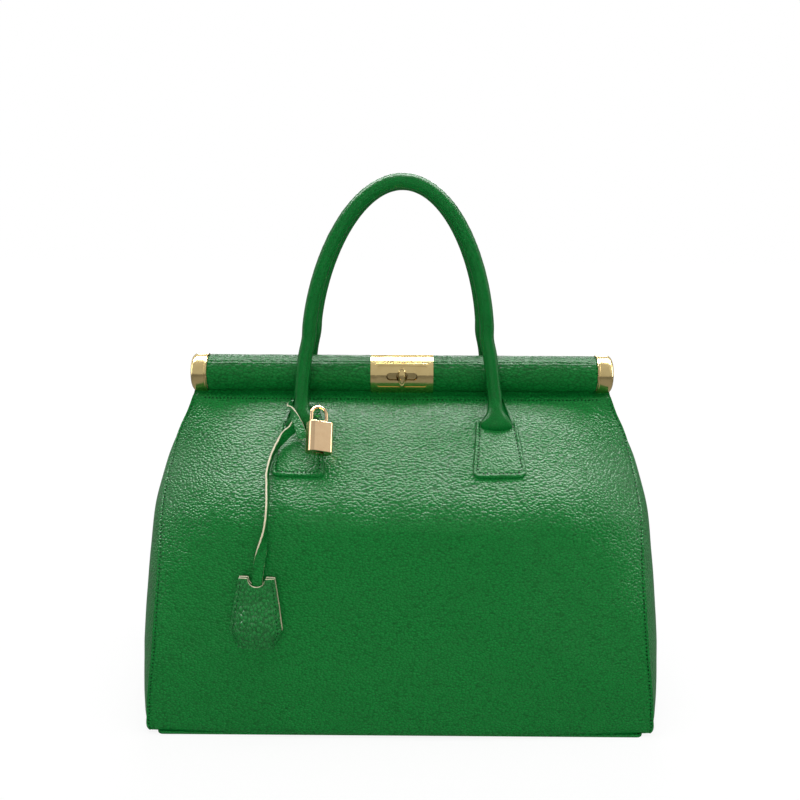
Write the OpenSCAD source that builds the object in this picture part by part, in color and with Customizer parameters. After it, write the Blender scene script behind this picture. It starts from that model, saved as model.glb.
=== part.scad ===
// Frame-top handbag: two leather halves close on a round bar with a turn lock.
// Origin: middle of the underside of the base. +Z is up, the front faces -Y.

/* [Body] */
// Widest size of the body, across the bulge of the two gussets
body_w = 356; // [300:1:400]
// Depth of the body below the crease, front face to rear face
body_d = 170; // [150:1:200]
// Height of the crease where each wall turns into its slope
crease_z = 158; // [150:1:170]
// Height at which the slopes end, just under the bar
slope_top_z = 222.5; // [218:0.5:230]
// Thickness of the leather
leather_t = 1.6; // [1.2:0.1:2]
// Bulge of the front and rear walls at mid height
belly = 2; // [0:0.5:4]
// Corner radius of the base, seen from above
base_r = 4; // [2:1:8]
// Thickness of the leather under the base
base_t = 2.2; // [1.5:0.1:4]
// Thickness of the stiffening board inside the base
board_t = 2.5; // [1.5:0.1:4]

/* [Bar] */
// Height of the bar's axis
bar_z = 237; // [234:1:245]
// Diameter of the leather-covered bar
bar_d = 27; // [24:0.5:30]
// How much shorter the bar is than the body, over its end caps
bar_short = 54; // [46:1:76]
// Length of each end cap
cap_len = 11.5; // [8:0.5:16]
// How far the caps stand proud of the leather
cap_proud = 0.4; // [0.2:0.1:1]
// Wall of the caps
cap_t = 0.8; // [0.6:0.1:1.2]
// Radius of the caps' rounded end
cap_r = 4; // [2:0.5:6]
// Height of the hinge pins on which the two frame halves turn
hinge_z = 178; // [176:0.5:180]
// Radius of the hinge pins
pin_r = 2; // [1.5:0.1:2.5]
// Thickness of the steel strip of the frame
strip_t = 1.5; // [1:0.1:2]

/* [Lock] */
// Length of the curved lock plate
plate_len = 44.6; // [40:0.2:50]
// Thickness of the lock plate
plate_t = 0.8; // [0.6:0.1:1]
// Width of the raised border
border_w = 38.4; // [34:0.2:40]
// Height of the raised border
border_h = 18.6; // [16:0.2:20]
// Length of the slot for the turn button
slot_w = 22; // [18:0.5:24]
// Height of the slot
slot_h = 5.5; // [4.8:0.1:6]
// Diameter of the slot's round middle
slot_eye_d = 8.5; // [7:0.1:9]
// Height of the turn button
button_h = 12.5; // [11:0.1:13]
// Width of the turn button
button_w = 4.2; // [3.4:0.1:5]
// Diameter of the turn button's shaft
shaft_d = 4.4; // [3.6:0.1:4.8]

/* [Handles] */
// Half the distance between the legs of a handle at its foot
leg_x = 68; // [66:0.5:72]
// Height of the top of the handles
handle_top_z = 375; // [350:1:400]
// Diameter of the rolled handle
handle_d = 10; // [9:0.5:11]
// Diameter of the cord inside the rolled handle
handle_core_d = 6.4; // [4:0.2:7]
// Width of a handle tab at its bottom edge
tab_w = 36; // [30:1:40]
// Height of the bottom edge of the tabs
tab_low_z = 177; // [172:1:182]
// Height of the top edge of the tabs
tab_top_z = 207; // [203:1:210]
// Thickness of a tab
tab_t = 2.2; // [1.6:0.1:3]

/* [Padlock and key bell] */
// Width of the padlock's case
case_w = 16; // [14:0.5:17]
// Height of the padlock's case
case_h = 21; // [18:0.5:23]
// Thickness of the padlock's case
case_t = 8; // [6:0.5:8]
// Diameter of the shackle's wire
wire_d = 2; // [1.6:0.1:2.2]
// Width of the key strap
strap_w = 7.4; // [6:0.2:7.6]
// Thickness of the key strap
strap_t = 1.8; // [1.4:0.1:2]
// Width of the key bell at its widest
bell_w = 34.6; // [28:0.2:36]
// Height of the key bell
bell_h = 49; // [40:1:52]

/* [Hidden] */

// Colours
leather_green = [0.05, 0.42, 0.12];
cloth_tan = [0.62, 0.52, 0.38];
gold = [0.86, 0.76, 0.48];
rose_gold = [0.88, 0.68, 0.5];
steel = [0.6, 0.6, 0.62];
board_brown = [0.5, 0.38, 0.25];
wood_pale = [0.78, 0.62, 0.42];

// Clearances and small steps shared by all pieces
gap = 0.3;
fit = 0.05;
over = 1;
round_fn = 64;
hull_fn = 32;

// Leather surfaces
half_w = body_w / 2;
crease_y = body_d / 2;
slope_top_y = 8;
edge_top_y = 9.5;
slope_power = 0.85;
side_power = 6;
edge_low_z = 125;
wall_top_z = crease_z - gap;
slope_low_z = crease_z;
slope_gap = 0.4;
slope_inset = leather_t + slope_gap;
slope_side_inset = 2.6;
seam_inset = 0.6;
gusset_split_z = 150;
fold_rise = 6;
gusset_top_z = hinge_z + fold_rise;
// Half width of the panels, as shares of the slope's top height and of the half width
panel_shares = [
    [0, 0.935], [0.012, 0.945], [0.03, 0.961], [0.06, 0.967],
    [0.21, 0.944], [0.42, 0.910], [0.56, 0.893], [0.69, 0.882],
    [0.78, 0.892], [0.86, 0.903], [0.93, 0.878], [1, 0.840],
];
// Bulge of the gussets beyond the panels' edges, as shares in the same way
bulge_shares = [
    [0, 0.008], [0.07, 0.024], [0.16, 0.05], [0.4, 0.088], [0.6, 0.105],
    [0.71, 0.087], [0.78, 0.055], [0.86, 0.012], [1, 0],
];
panel_cols = 20;
row_power = 1.5;
slope_rows = 10;
gusset_cols = 12;
fold_rows = 6;
wall_top_rows = 2;
// Heights of the rows that walls and gussets share, as shares of the way to the split
height_shares = [0, 0.02, 0.05, 0.09, 0.18, 0.32, 0.5, 0.68, 0.8, 0.87, 0.92, 0.96, 1];

// Linings and pockets
cloth_t = 0.8;
lining_from_side = 26;
lining_half_x = half_w - lining_from_side;
lining_half_y = crease_y - leather_t - gap;
lining_top_z = 122;
lining_low_z = base_t + board_t + gap;
pocket_w = 200;
pocket_low_z = 40;
pocket_top_z = 108;
zip_len = 180;
zip_z = 104;
zip_tape_h = 16;
zip_teeth_h = 4;
zip_teeth_t = 1.2;
zip_welt_w = 4;
slider_len = 10;
slider_h = 7;
slider_t = 2.4;
pull_len = 16;
pull_w = 4;
pull_t = 1;

// Steel frame and its hinges
strip_y = 1.8;
strip_low_z = 214;
bar_len = body_w - bar_short;
bar_half = bar_len / 2;
leg_from_end = 6.5;
tenon_from_end = 17;
strip_leg_x = bar_half - leg_from_end;
leg_r = 5;
leg_top_near_y = strip_y;
leg_top_far_y = 6;
leg_step = strip_t + gap;
tenon_half_x = bar_half - tenon_from_end;
tenon_top_z = 228;
leg_drop = 0.5;
leg_top_z = slope_top_z - leg_drop;
tongue_x = strip_leg_x + leg_step + strip_t + gap;
washer_t = 4.2;
washer_r = 4;
tongue_w = 9;
pin_head_r = 3.6;
pin_head_t = 1.2;

// Bar
cover_t = leather_t;
cover_r = bar_d / 2;
core_r = cover_r - cover_t - fit;
parting = 0.3;
cap_out_r = cover_r + cap_proud;
cover_half = bar_half - cap_len - gap / 2;
core_half = bar_half - cap_t - gap;
lock_gap_half = 13;

// Lock
plate_gap = 0.1;
plate_in_r = cover_r + plate_gap;
plate_out_r = plate_in_r + plate_t;
border_line = 1.6;
border_rise = 0.5;
border_corner_r = 2.5;
button_gap = 0.4;
button_back_y = plate_out_r + button_gap;
button_t = 2.3;
button_face_r = 13;
block_half_x = 12;
block_half_z = 8.5;
block_depth = 6;
tower_half_x = 10.5;
tower_h = 4.9;
tower_front_y = 11.2;
tower_eye_r = 4.1;
tower_eye_y = 4;
shaft_end = 0.2;
screw_x = 8.5;
screw_z = 5.4;
screw_head_r = 1.8;
screw_head_t = 1;
screw_r = 0.9;
screw_len = 9;

// Handles
foot_y = 26;
foot_z = 226;
foot_r = 5.2;
arch_low_z = 265;
arch_half_x = 63;
arch_power = 1.4;
handle_top_y = 27;
handle_mid_y = 22;
handle_arc_n = 22;
handle_sides = 12;
neck_top_z = foot_z - foot_r - gap;
neck_r = 4.7;
neck_step = 1.5;
neck_low_r = 3;
neck_low_half_x = 9;
neck_low_z = 203;
tab_top_w = 27;
tab_corner = 5;
tab_cols = 6;
tab_rows = 6;

// Strap loop, key strap and bell
loop_t = 1.7;
loop_low_z = 212;
loop_high_z = 218.5;
loop_gap = 0.3;
tail_w = 7;
// Points chosen by hand for this half depth and handle foot, which move with them
route_depth = 85;
route_leg_x = 68;
function at_depth(p) = [p[0] + route_leg_x - leg_x, p[1] * crease_y / route_depth, p[2]];
tail_from = at_depth([-71.5, -41, 216]);
tail_to = at_depth([-67.5, -51.5, 202]);
eye_from = at_depth([-60.5, -39, 215]);
eye_to = at_depth([-56, -47, 215.6]);
eye_r = 2.6;
// Route of the key strap, chosen by hand, from the loop down into the bell
strap_points = [
    [-74.5, -45, 206], [-78, -46.8, 203], [-81.5, -49.6, 199.2], [-84.9, -53.8, 194.6],
    [-87.5, -59.5, 189], [-88.8, -67.5, 181.5], [-87.8, -75.5, 174], [-86.8, -85, 166.5], [-87, -90.6, 156],
    [-88.6, -90.7, 145], [-90.6, -90.7, 134], [-92.6, -90.7, 124], [-93.8, -90.7, 114],
    [-94.3, -90.7, 104], [-94.6, -90.7, 92],
];
strap_route = [for (p = strap_points) at_depth(p)];
// Direction of the strap's width at each point of the route, in degrees from X
strap_turns = [38, 66, 82, 88, 90, 90, 90, 88, 76, 45, 10, 0, 0, 0, 0];
bell_from_leg = 27.6;
bell_x = -leg_x - bell_from_leg;
bell_low_z = 68;
bell_lean = 2;
bell_leaf_t = 1.8;
bell_back_y = crease_y + belly + 2 * gap;
bell_room = 3.8;
// Outline of a bell leaf, as shares of the bell's width and height
bell_outline_shares = [
    [-0.5, 0.26], [-0.44, 0.14], [-0.34, 0], [0.34, 0], [0.44, 0.14], [0.5, 0.26],
    [0.43, 0.62], [0.34, 1], [0.17, 1],
];
bell_notch_share = 0.17;
key_bow_r = 4.6;
key_hole_r = 1.8;
key_len = 21;
key_blade_w = 3;
key_t = 1;
key_x = 6;
key_y = bell_back_y + bell_leaf_t + strap_t + 2 * gap;

// Padlock
lock_pivot = at_depth([-56, -44, 221]);
lock_yaw = 30;
lock_tilt = -30.5;
shackle_span = 11;
case_drop = 12;
case_r = 3;
long_sink = 9;
short_sink = 4;
plug_r = 2.6;
plug_t = 1.2;
shackle_bore_r = wire_d / 2 + fit;

// How far the front leather stands from the middle plane, at height z
function wall_y(z) = crease_y + belly * sin(180 * z / crease_z);
function slope_y(z) =
    slope_top_y - slope_inset
    + (crease_y - slope_top_y)
    * pow((slope_top_z - z) / (slope_top_z - crease_z), slope_power);
function ease(t) = t * t * (3 - 2 * t);
function edge_y(z) =
    z >= hinge_z ? edge_top_y
    : z <= edge_low_z ? wall_y(z)
    : edge_top_y + (wall_y(z) - edge_top_y) * ease((hinge_z - z) / (hinge_z - edge_low_z));
function panel_half(z) = half_w * lookup(z / slope_top_z, panel_shares);
function bulge(z) = half_w * lookup(z / slope_top_z, bulge_shares);
function side_mix(middle, edge, u) = middle + (edge - middle) * pow(abs(u), side_power);
function spread(i, n) = sin(90 * (2 * i / n - 1));

// Heights of the rows of points
gusset_heights = [for (h = height_shares) base_t + (gusset_split_z - base_t) * h];
wall_heights = concat(gusset_heights, [
    for (r = [1:wall_top_rows])
        gusset_split_z + (wall_top_z - gusset_split_z) * r / wall_top_rows
]);
fold_low_z = gusset_split_z + gap;
fold_heights = [
    for (r = [0:fold_rows])
        fold_low_z + (gusset_top_z - fold_low_z) * pow(r / fold_rows, row_power)
];

// Grids of points: rows run up, columns run across
function wall_grid(depth, side, heights) = [
    for (z = heights) [
        for (c = [0:panel_cols]) let (u = spread(c, panel_cols))
            [(panel_half(z) - side) * u, depth - side_mix(wall_y(z), edge_y(z), u), z]
    ]
];
function slope_grid(depth, side, low, high, rows) = [
    for (r = [0:rows]) let (z = low + (high - low) * r / rows) [
        for (c = [0:panel_cols]) let (u = spread(c, panel_cols))
            [(panel_half(z) - side) * u,
             depth - side_mix(slope_y(z), min(edge_y(z), slope_y(z) + slope_inset), u), z]
    ]
];
function gusset_grid(depth, heights) = [
    for (z = heights) [
        for (c = [0:gusset_cols]) let (v = spread(c, gusset_cols))
            [panel_half(z) - seam_inset - depth + bulge(z) * (1 - v * v),
             v * (edge_y(z) - leather_t - gap), z]
    ]
];

// Triangles of one side of a grid, or of its rim
function grid_faces(rows, cols, first, flip) = [
    for (r = [0:rows - 1]) for (c = [0:cols - 1]) for (k = [0:1])
        let (a = first + r * (cols + 1) + c, b = a + 1, d = a + cols + 1, e = d + 1)
        k == 0 ? (flip ? [a, b, e] : [a, e, b]) : (flip ? [a, e, d] : [a, d, e])
];
function rim_loop(rows, cols) = concat(
    [for (c = [0:cols]) c],
    [for (r = [1:rows]) r * (cols + 1) + cols],
    [for (c = [1:cols]) rows * (cols + 1) + cols - c],
    [for (r = [1:rows - 1]) (rows - r) * (cols + 1)]
);
function rim_faces(loop, other) = [
    for (i = [0:len(loop) - 1]) for (k = [0:1])
        let (a = loop[i], b = loop[(i + 1) % len(loop)])
        k == 0 ? [a, b, b + other] : [a, b + other, a + other]
];

// A closed sheet between two grids, the near one on the side that -Y or +X looks at
module sheet_between(near, far) {
    rows = len(near) - 1;
    cols = len(near[0]) - 1;
    count = (rows + 1) * (cols + 1);
    points = [for (g = [near, far]) for (row = g) for (p = row) p];
    polyhedron(points, concat(
        grid_faces(rows, cols, 0, false),
        grid_faces(rows, cols, count, true),
        rim_faces(rim_loop(rows, cols), count)
    ));
}

// Rings of points swept along a route
function unit(v) = v / norm(v);
function tangent(path, i) =
    unit(path[min(i + 1, len(path) - 1)] - path[max(i - 1, 0)]);
function round_ring(p, t, r, sides) =
    let (a = unit(cross([0, 1, 0], t)), b = cross(t, a))
    [for (k = [0:sides - 1]) p + r * (cos(360 * k / sides) * a + sin(360 * k / sides) * b)];
function flat_ring(p, t, turn, w, h) =
    let (raw = [cos(turn), sin(turn), 0], a = unit(raw - (raw * t) * t), b = cross(t, a))
    [p - a * w / 2 - b * h / 2, p + a * w / 2 - b * h / 2,
     p + a * w / 2 + b * h / 2, p - a * w / 2 + b * h / 2];
function side_faces(rings, sides, first, flip) = [
    for (r = [0:rings - 2]) for (k = [0:sides - 1]) for (h = [0:1])
        let (a = first + r * sides + k, b = first + r * sides + (k + 1) % sides,
             d = a + sides, e = b + sides)
        h == 0 ? (flip ? [a, b, e] : [a, e, b]) : (flip ? [a, e, d] : [a, d, e])
];

// A solid swept through rings
module sweep(rings) {
    n = len(rings);
    sides = len(rings[0]);
    polyhedron([for (ring = rings) for (p = ring) p], concat(
        side_faces(n, sides, 0, false),
        [[for (k = [0:sides - 1]) k]],
        [[for (k = [0:sides - 1]) n * sides - 1 - k]]
    ));
}

// A pipe swept through outer and inner rings
module sweep_pipe(outer, inner) {
    n = len(outer);
    sides = len(outer[0]);
    count = n * sides;
    polyhedron([for (rings = [outer, inner]) for (ring = rings) for (p = ring) p], concat(
        side_faces(n, sides, 0, false),
        side_faces(n, sides, count, true),
        [for (k = [0:sides - 1]) for (h = [0:1])
            let (a = k, b = (k + 1) % sides)
            h == 0 ? [a, b, b + count] : [a, b + count, a + count]],
        [for (k = [0:sides - 1]) for (h = [0:1])
            let (a = (n - 1) * sides + k, b = (n - 1) * sides + (k + 1) % sides)
            h == 0 ? [a, b + count, b] : [a, a + count, b + count]]
    ));
}

// A half ring or half disc around the bar's axis, on the rear side
module half_turn_x(points) {
    translate([0, 0, bar_z])
        difference() {
            rotate([0, 90, 0])
                rotate_extrude(angle = 180, $fn = round_fn)
                    polygon(points);
            translate([-bar_len, -over, -bar_d])
                cube([2 * bar_len, over + parting / 2, 2 * bar_d]);
        }
}

module half_tube(inner_r, outer_r, low_x, high_x) {
    half_turn_x([[inner_r, low_x], [outer_r, low_x], [outer_r, high_x], [inner_r, high_x]]);
}

module to_front() {
    mirror([0, 1, 0])
        children();
}

module to_left() {
    mirror([1, 0, 0])
        children();
}

// A round bar along X or Y, used for pins, shafts and their holes
module rod_x(r, from_x, to_x, y, z) {
    translate([from_x, y, z])
        rotate([0, 90, 0])
            cylinder(r = r, h = to_x - from_x, $fn = round_fn);
}

module rod_y(r, from_y, to_y, x, z) {
    translate([x, to_y, z])
        rotate([90, 0, 0])
            cylinder(r = r, h = to_y - from_y, $fn = round_fn);
}

// Base
base_half_x = half_w * panel_shares[0][1];

module base_plate(inset, low, thick) {
    translate([0, 0, low])
        linear_extrude(thick)
            offset(r = base_r, $fn = hull_fn)
                square([2 * (base_half_x - inset - base_r), body_d - 2 * (inset + base_r)],
                       center = true);
}

module base_panel() {
    color(leather_green)
        base_plate(0, 0, base_t);
}

module base_board() {
    color(board_brown)
        base_plate(leather_t + 4 * gap, base_t, board_t);
}

// Walls, slopes and gussets
module wall() {
    sheet_between(
        wall_grid(0, 0, wall_heights),
        wall_grid(leather_t, 0, wall_heights)
    );
}

module front_panel() {
    color(leather_green)
        wall();
}

module rear_panel() {
    color(leather_green)
        to_front()
            wall();
}

module slope() {
    sheet_between(
        slope_grid(0, slope_side_inset, slope_low_z, slope_top_z, slope_rows),
        slope_grid(leather_t, slope_side_inset, slope_low_z, slope_top_z, slope_rows)
    );
}

module front_slope() {
    color(leather_green)
        slope();
}

module rear_slope() {
    color(leather_green)
        to_front()
            slope();
}

module slope_cloth() {
    cloth_low = slope_low_z + over;
    cloth_high = strip_low_z - over;
    side = slope_side_inset + 3 * leather_t;
    sheet_between(
        slope_grid(leather_t + gap, side, cloth_low, cloth_high, slope_rows),
        slope_grid(leather_t + gap + cloth_t, side, cloth_low, cloth_high, slope_rows)
    );
}

module front_slope_lining() {
    color(cloth_tan)
        slope_cloth();
}

module rear_slope_lining() {
    color(cloth_tan)
        to_front()
            slope_cloth();
}

module gusset_sheet(heights) {
    sheet_between(gusset_grid(0, heights), gusset_grid(leather_t, heights));
}

// The tongue carries the hinge pin, on the inside of the gusset's fold
module gusset_tongue() {
    tongue_low = gusset_split_z - 5 * leather_t;
    difference() {
        union() {
            translate([tongue_x + washer_t, -tongue_w / 2, tongue_low])
                cube([leather_t, tongue_w, hinge_z - tongue_low]);
            rod_x(tongue_w / 2, tongue_x + washer_t, tongue_x + washer_t + leather_t,
                  0, hinge_z);
        }
        rod_x(pin_r + fit, tongue_x, tongue_x + washer_t + 2 * leather_t, 0, hinge_z);
    }
}

module gusset_web() {
    web_low = gusset_split_z - 5 * leather_t;
    web_x = tongue_x + washer_t + leather_t;
    translate([web_x, -tongue_w / 2, web_low])
        cube([panel_half(web_low) + bulge(web_low) - seam_inset - leather_t / 2 - web_x,
              tongue_w, leather_t]);
}

module gusset() {
    gusset_sheet(gusset_heights);
    gusset_tongue();
    gusset_web();
}

module left_gusset() {
    color(leather_green)
        to_left()
            gusset();
}

module right_gusset() {
    color(leather_green)
        gusset();
}

module left_gusset_fold() {
    color(leather_green)
        to_left()
            gusset_sheet(fold_heights);
}

module right_gusset_fold() {
    color(leather_green)
        gusset_sheet(fold_heights);
}

// Hinge pins and washers, one set at each end of the bar
module hinge_pins() {
    color(steel)
        for (side = [0, 1])
            mirror([side, 0, 0]) {
                rod_x(pin_r, strip_leg_x - gap, tongue_x + washer_t + leather_t, 0, hinge_z);
                rod_x(pin_head_r, strip_leg_x - gap - pin_head_t, strip_leg_x - gap,
                      0, hinge_z);
            }
}

module hinge_washers() {
    color(steel)
        for (side = [0, 1])
            mirror([side, 0, 0])
                difference() {
                    rod_x(washer_r, tongue_x, tongue_x + washer_t - gap / 2, 0, hinge_z);
                    rod_x(pin_r + fit, tongue_x - over, tongue_x + washer_t + over,
                          0, hinge_z);
                }
}

// Lining bag and its pockets
module lining() {
    color(cloth_tan)
        difference() {
            translate([-lining_half_x, -lining_half_y, lining_low_z])
                cube([2 * lining_half_x, 2 * lining_half_y, lining_top_z - lining_low_z]);
            translate([cloth_t - lining_half_x, cloth_t - lining_half_y,
                       lining_low_z + cloth_t])
                cube([2 * (lining_half_x - cloth_t), 2 * (lining_half_y - cloth_t),
                      lining_top_z]);
        }
}

inner_y = lining_half_y - cloth_t;

module slip_pocket() {
    color(cloth_tan)
        translate([-pocket_w / 2, inner_y - gap - cloth_t, pocket_low_z])
            cube([pocket_w, cloth_t, pocket_top_z - pocket_low_z]);
}

module zip_welt() {
    color(leather_green)
        difference() {
            translate([-zip_len / 2 - zip_welt_w, -inner_y + gap,
                       zip_z - zip_tape_h / 2 - zip_welt_w])
                cube([zip_len + 2 * zip_welt_w, cloth_t, zip_tape_h + 2 * zip_welt_w]);
            translate([-zip_len / 2, -inner_y, zip_z - zip_tape_h / 2])
                cube([zip_len, over + 2 * cloth_t, zip_tape_h]);
        }
}

module zip_tape() {
    color(cloth_tan)
        translate([-zip_len / 2 + gap, -inner_y + gap, zip_z - zip_tape_h / 2 + gap])
            cube([zip_len - 2 * gap, cloth_t, zip_tape_h - 2 * gap]);
    color(gold)
        translate([-zip_len / 2 + gap, -inner_y + gap + cloth_t, zip_z - zip_teeth_h / 2])
            cube([zip_len - 2 * gap, zip_teeth_t, zip_teeth_h]);
}

slider_y = -inner_y + 2 * gap + cloth_t;

module zip_slider() {
    slider_x = -zip_len / 2 + 2 * slider_len;
    color(gold) {
        difference() {
            translate([slider_x, slider_y, zip_z - slider_h / 2])
                cube([slider_len, slider_t, slider_h]);
            translate([slider_x - over, slider_y - over, zip_z - zip_teeth_h / 2 - gap])
                cube([slider_len + 2 * over, over + zip_teeth_t, zip_teeth_h + 2 * gap]);
        }
        translate([slider_x + (slider_len - pull_w) / 2, slider_y + slider_t,
                   zip_z - pull_len])
            cube([pull_w, pull_t, pull_len]);
    }
}

// Steel strip frame: a cross strip whose tenon enters the bar, and two legs
module frame_strip(leg_shift) {
    translate([-strip_leg_x - strip_t - leg_shift, strip_y, strip_low_z])
        cube([2 * (strip_leg_x + strip_t + leg_shift), strip_t, leg_top_z - strip_low_z]);
    translate([-tenon_half_x, strip_y, strip_low_z])
        cube([2 * tenon_half_x, strip_t, tenon_top_z - strip_low_z]);
    for (side = [0, 1])
        mirror([side, 0, 0])
            difference() {
                union() {
                    translate([strip_leg_x + leg_shift, 0, 0])
                        rotate([90, 0, 90])
                            linear_extrude(strip_t)
                                polygon([
                                    [-leg_r, hinge_z], [leg_top_near_y, leg_top_z],
                                    [leg_top_far_y, leg_top_z], [leg_r, hinge_z],
                                ]);
                    rod_x(leg_r, strip_leg_x + leg_shift, strip_leg_x + leg_shift + strip_t,
                          0, hinge_z);
                }
                rod_x(pin_r + fit, strip_leg_x - over, tongue_x + over, 0, hinge_z);
            }
}

module front_frame_strip() {
    color(steel)
        to_front()
            frame_strip(0);
}

module rear_frame_strip() {
    color(steel)
        frame_strip(leg_step);
}

// Groove in core and cover for the strip's tenon
module tenon_groove() {
    translate([-tenon_half_x - gap, strip_y - fit, strip_low_z])
        cube([2 * (tenon_half_x + gap), strip_t + 2 * fit, tenon_top_z + fit - strip_low_z]);
}

module bar_core() {
    difference() {
        half_turn_x([[0, -core_half], [core_r, -core_half], [core_r, core_half],
                     [0, core_half]]);
        tenon_groove();
        for (side = [0, 1])
            mirror([side, 0, 0])
                translate([0, 0, bar_z])
                    rotate([0, 90, 0])
                        translate([0, 0, core_half - cap_r])
                            difference() {
                                cylinder(r = 2 * core_r, h = cap_r + over, $fn = round_fn);
                                translate([0, 0, -over])
                                    cylinder(r = core_r - cap_r, h = cap_r + 3 * over,
                                             $fn = round_fn);
                            }
    }
}

module front_bar_core() {
    color(wood_pale)
        to_front()
            difference() {
                bar_core();
                translate([-lock_gap_half, -bar_d, bar_z - bar_d])
                    cube([2 * lock_gap_half, 2 * bar_d, 2 * bar_d]);
            }
}

module rear_bar_core() {
    color(wood_pale)
        difference() {
            bar_core();
            translate([-block_half_x - fit, -over, bar_z - block_half_z - fit])
                cube([2 * (block_half_x + fit), over + block_depth + parting / 2 + fit,
                      2 * (block_half_z + fit)]);
            for (x = [-screw_x, screw_x])
                rod_y(screw_r + fit, 0, screw_len + over, x, bar_z + screw_z);
        }
}

module bar_cover() {
    difference() {
        half_tube(cover_r - cover_t, cover_r, -cover_half, cover_half);
        tenon_groove();
    }
}

module front_bar_cover() {
    color(leather_green)
        to_front()
            difference() {
                bar_cover();
                translate([-lock_gap_half, -bar_d, bar_z - bar_d])
                    cube([2 * lock_gap_half, 2 * bar_d, 2 * bar_d]);
            }
}

module rear_bar_cover() {
    color(leather_green)
        bar_cover();
}

// Half of an end cap: a thin cup with a rounded end
module half_cap() {
    end_x = bar_half;
    rim_x = bar_half - cap_len;
    half_turn_x(concat(
        [[0, end_x]],
        [[0, end_x - cap_t]],
        [[cap_out_r - cap_r, end_x - cap_t]],
        [for (a = [15:15:90])
            [cap_out_r - cap_r + (cap_r - cap_t) * sin(a),
             end_x - cap_r + (cap_r - cap_t) * cos(a)]],
        [[cap_out_r - cap_t, rim_x], [cap_out_r, rim_x]],
        [for (a = [90:-15:0])
            [cap_out_r - cap_r + cap_r * sin(a), end_x - cap_r + cap_r * cos(a)]]
    ));
}

module front_left_cap() {
    color(gold)
        to_front()
            to_left()
                half_cap();
}

module front_right_cap() {
    color(gold)
        to_front()
            half_cap();
}

module rear_left_cap() {
    color(gold)
        to_left()
            half_cap();
}

module rear_right_cap() {
    color(gold)
        half_cap();
}

// Lock plates, one on each half of the bar
module rounded_box(w, h, r) {
    for (x = [r - w / 2, w / 2 - r]) for (y = [r - h / 2, h / 2 - r])
        translate([x, y])
            circle(r, $fn = hull_fn);
    square([w - 2 * r, h], center = true);
    square([w, h - 2 * r], center = true);
}

module toward_front(depth) {
    translate([0, 0, bar_z])
        rotate([90, 0, 0])
            linear_extrude(depth)
                children();
}

module plain_plate() {
    difference() {
        half_tube(plate_in_r, plate_out_r, -plate_len / 2, plate_len / 2);
        translate([-plate_len, -over, bar_z - bar_d])
            cube([2 * plate_len, over + strip_y + strip_t + gap, bar_d]);
    }
}

module raised_border() {
    intersection() {
        to_front()
            half_tube(plate_out_r, plate_out_r + border_rise, -plate_len / 2, plate_len / 2);
        toward_front(bar_d)
            difference() {
                rounded_box(border_w, border_h, border_corner_r);
                rounded_box(border_w - 2 * border_line, border_h - 2 * border_line,
                            border_corner_r - border_line / 2);
            }
    }
}

module lock_plate() {
    color(gold)
        difference() {
            union() {
                to_front()
                    plain_plate();
                raised_border();
            }
            toward_front(bar_d)
                square([slot_w - slot_h, slot_h], center = true);
            for (x = [(slot_h - slot_w) / 2, (slot_w - slot_h) / 2])
                rod_y(slot_h / 2, -bar_d, 0, x, bar_z);
            rod_y(slot_eye_d / 2, -bar_d, 0, 0, bar_z);
        }
}

module rear_lock_plate() {
    color(gold)
        plain_plate();
}

// The tower is the gold seen through the plate's slot; it ends behind the slot's room
module lock_tower() {
    end_x = tower_half_x - tower_h / 2;
    translate([-end_x, -tower_front_y, bar_z - tower_h / 2])
        cube([2 * end_x, tower_front_y + over, tower_h]);
    for (x = [-end_x, end_x])
        rod_y(tower_h / 2, -tower_front_y, over, x, bar_z);
}

module lock_base() {
    color(gold)
        difference() {
            union() {
                translate([-block_half_x, parting / 2, bar_z - block_half_z])
                    cube([2 * block_half_x, block_depth, 2 * block_half_z]);
                lock_tower();
            }
            rod_y(shaft_d / 2 + fit, -tower_front_y - over, block_depth, 0, bar_z);
            rod_y(tower_eye_r, -tower_front_y - over, -tower_eye_y, 0, bar_z);
            for (x = [-screw_x, screw_x]) {
                rod_y(screw_r + fit, -over, block_depth + over, x, bar_z + screw_z);
                rod_y(screw_head_r + fit, -over, parting / 2 + screw_head_t + fit, x,
                      bar_z + screw_z);
            }
        }
}

module lock_screws() {
    color(steel)
        for (x = [-screw_x, screw_x]) {
            rod_y(screw_head_r, parting / 2, parting / 2 + screw_head_t, x, bar_z + screw_z);
            rod_y(screw_r, parting / 2, screw_len, x, bar_z + screw_z);
        }
}

module turn_button() {
    side_r = (button_h * button_h + button_w * button_w) / (4 * button_w);
    color(gold) {
        rod_y(shaft_d / 2, -button_back_y, block_depth - shaft_end, 0, bar_z);
        intersection() {
            translate([0, -button_back_y, bar_z])
                rotate([90, 0, 0])
                    linear_extrude(button_t)
                        intersection() {
                            translate([side_r - button_w / 2, 0])
                                circle(side_r, $fn = round_fn);
                            translate([button_w / 2 - side_r, 0])
                                circle(side_r, $fn = round_fn);
                        }
            rod_x(button_face_r, -button_w, button_w,
                  button_face_r - button_back_y - button_t, bar_z);
        }
    }
}

// Handle tabs with their padded necks
module tab_sheet() {
    function tab_half(z) =
        (tab_w + (tab_top_w - tab_w) * (z - tab_low_z) / (tab_top_z - tab_low_z)) / 2
        - tab_corner * (1 - sqrt(1 - pow(max(0, 1 - (z - tab_low_z) / tab_corner), 2)));
    function tab_grid(lift) = [
        for (r = [0:tab_rows])
            let (z = tab_low_z + (tab_top_z - tab_low_z) * pow(r / tab_rows, row_power)) [
            for (c = [0:tab_cols]) let (u = 2 * c / tab_cols - 1)
                [leg_x + tab_half(z) * u, -slope_y(z) - lift, z]
        ]
    ];
    sheet_between(tab_grid(gap + tab_t), tab_grid(gap));
}

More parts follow.
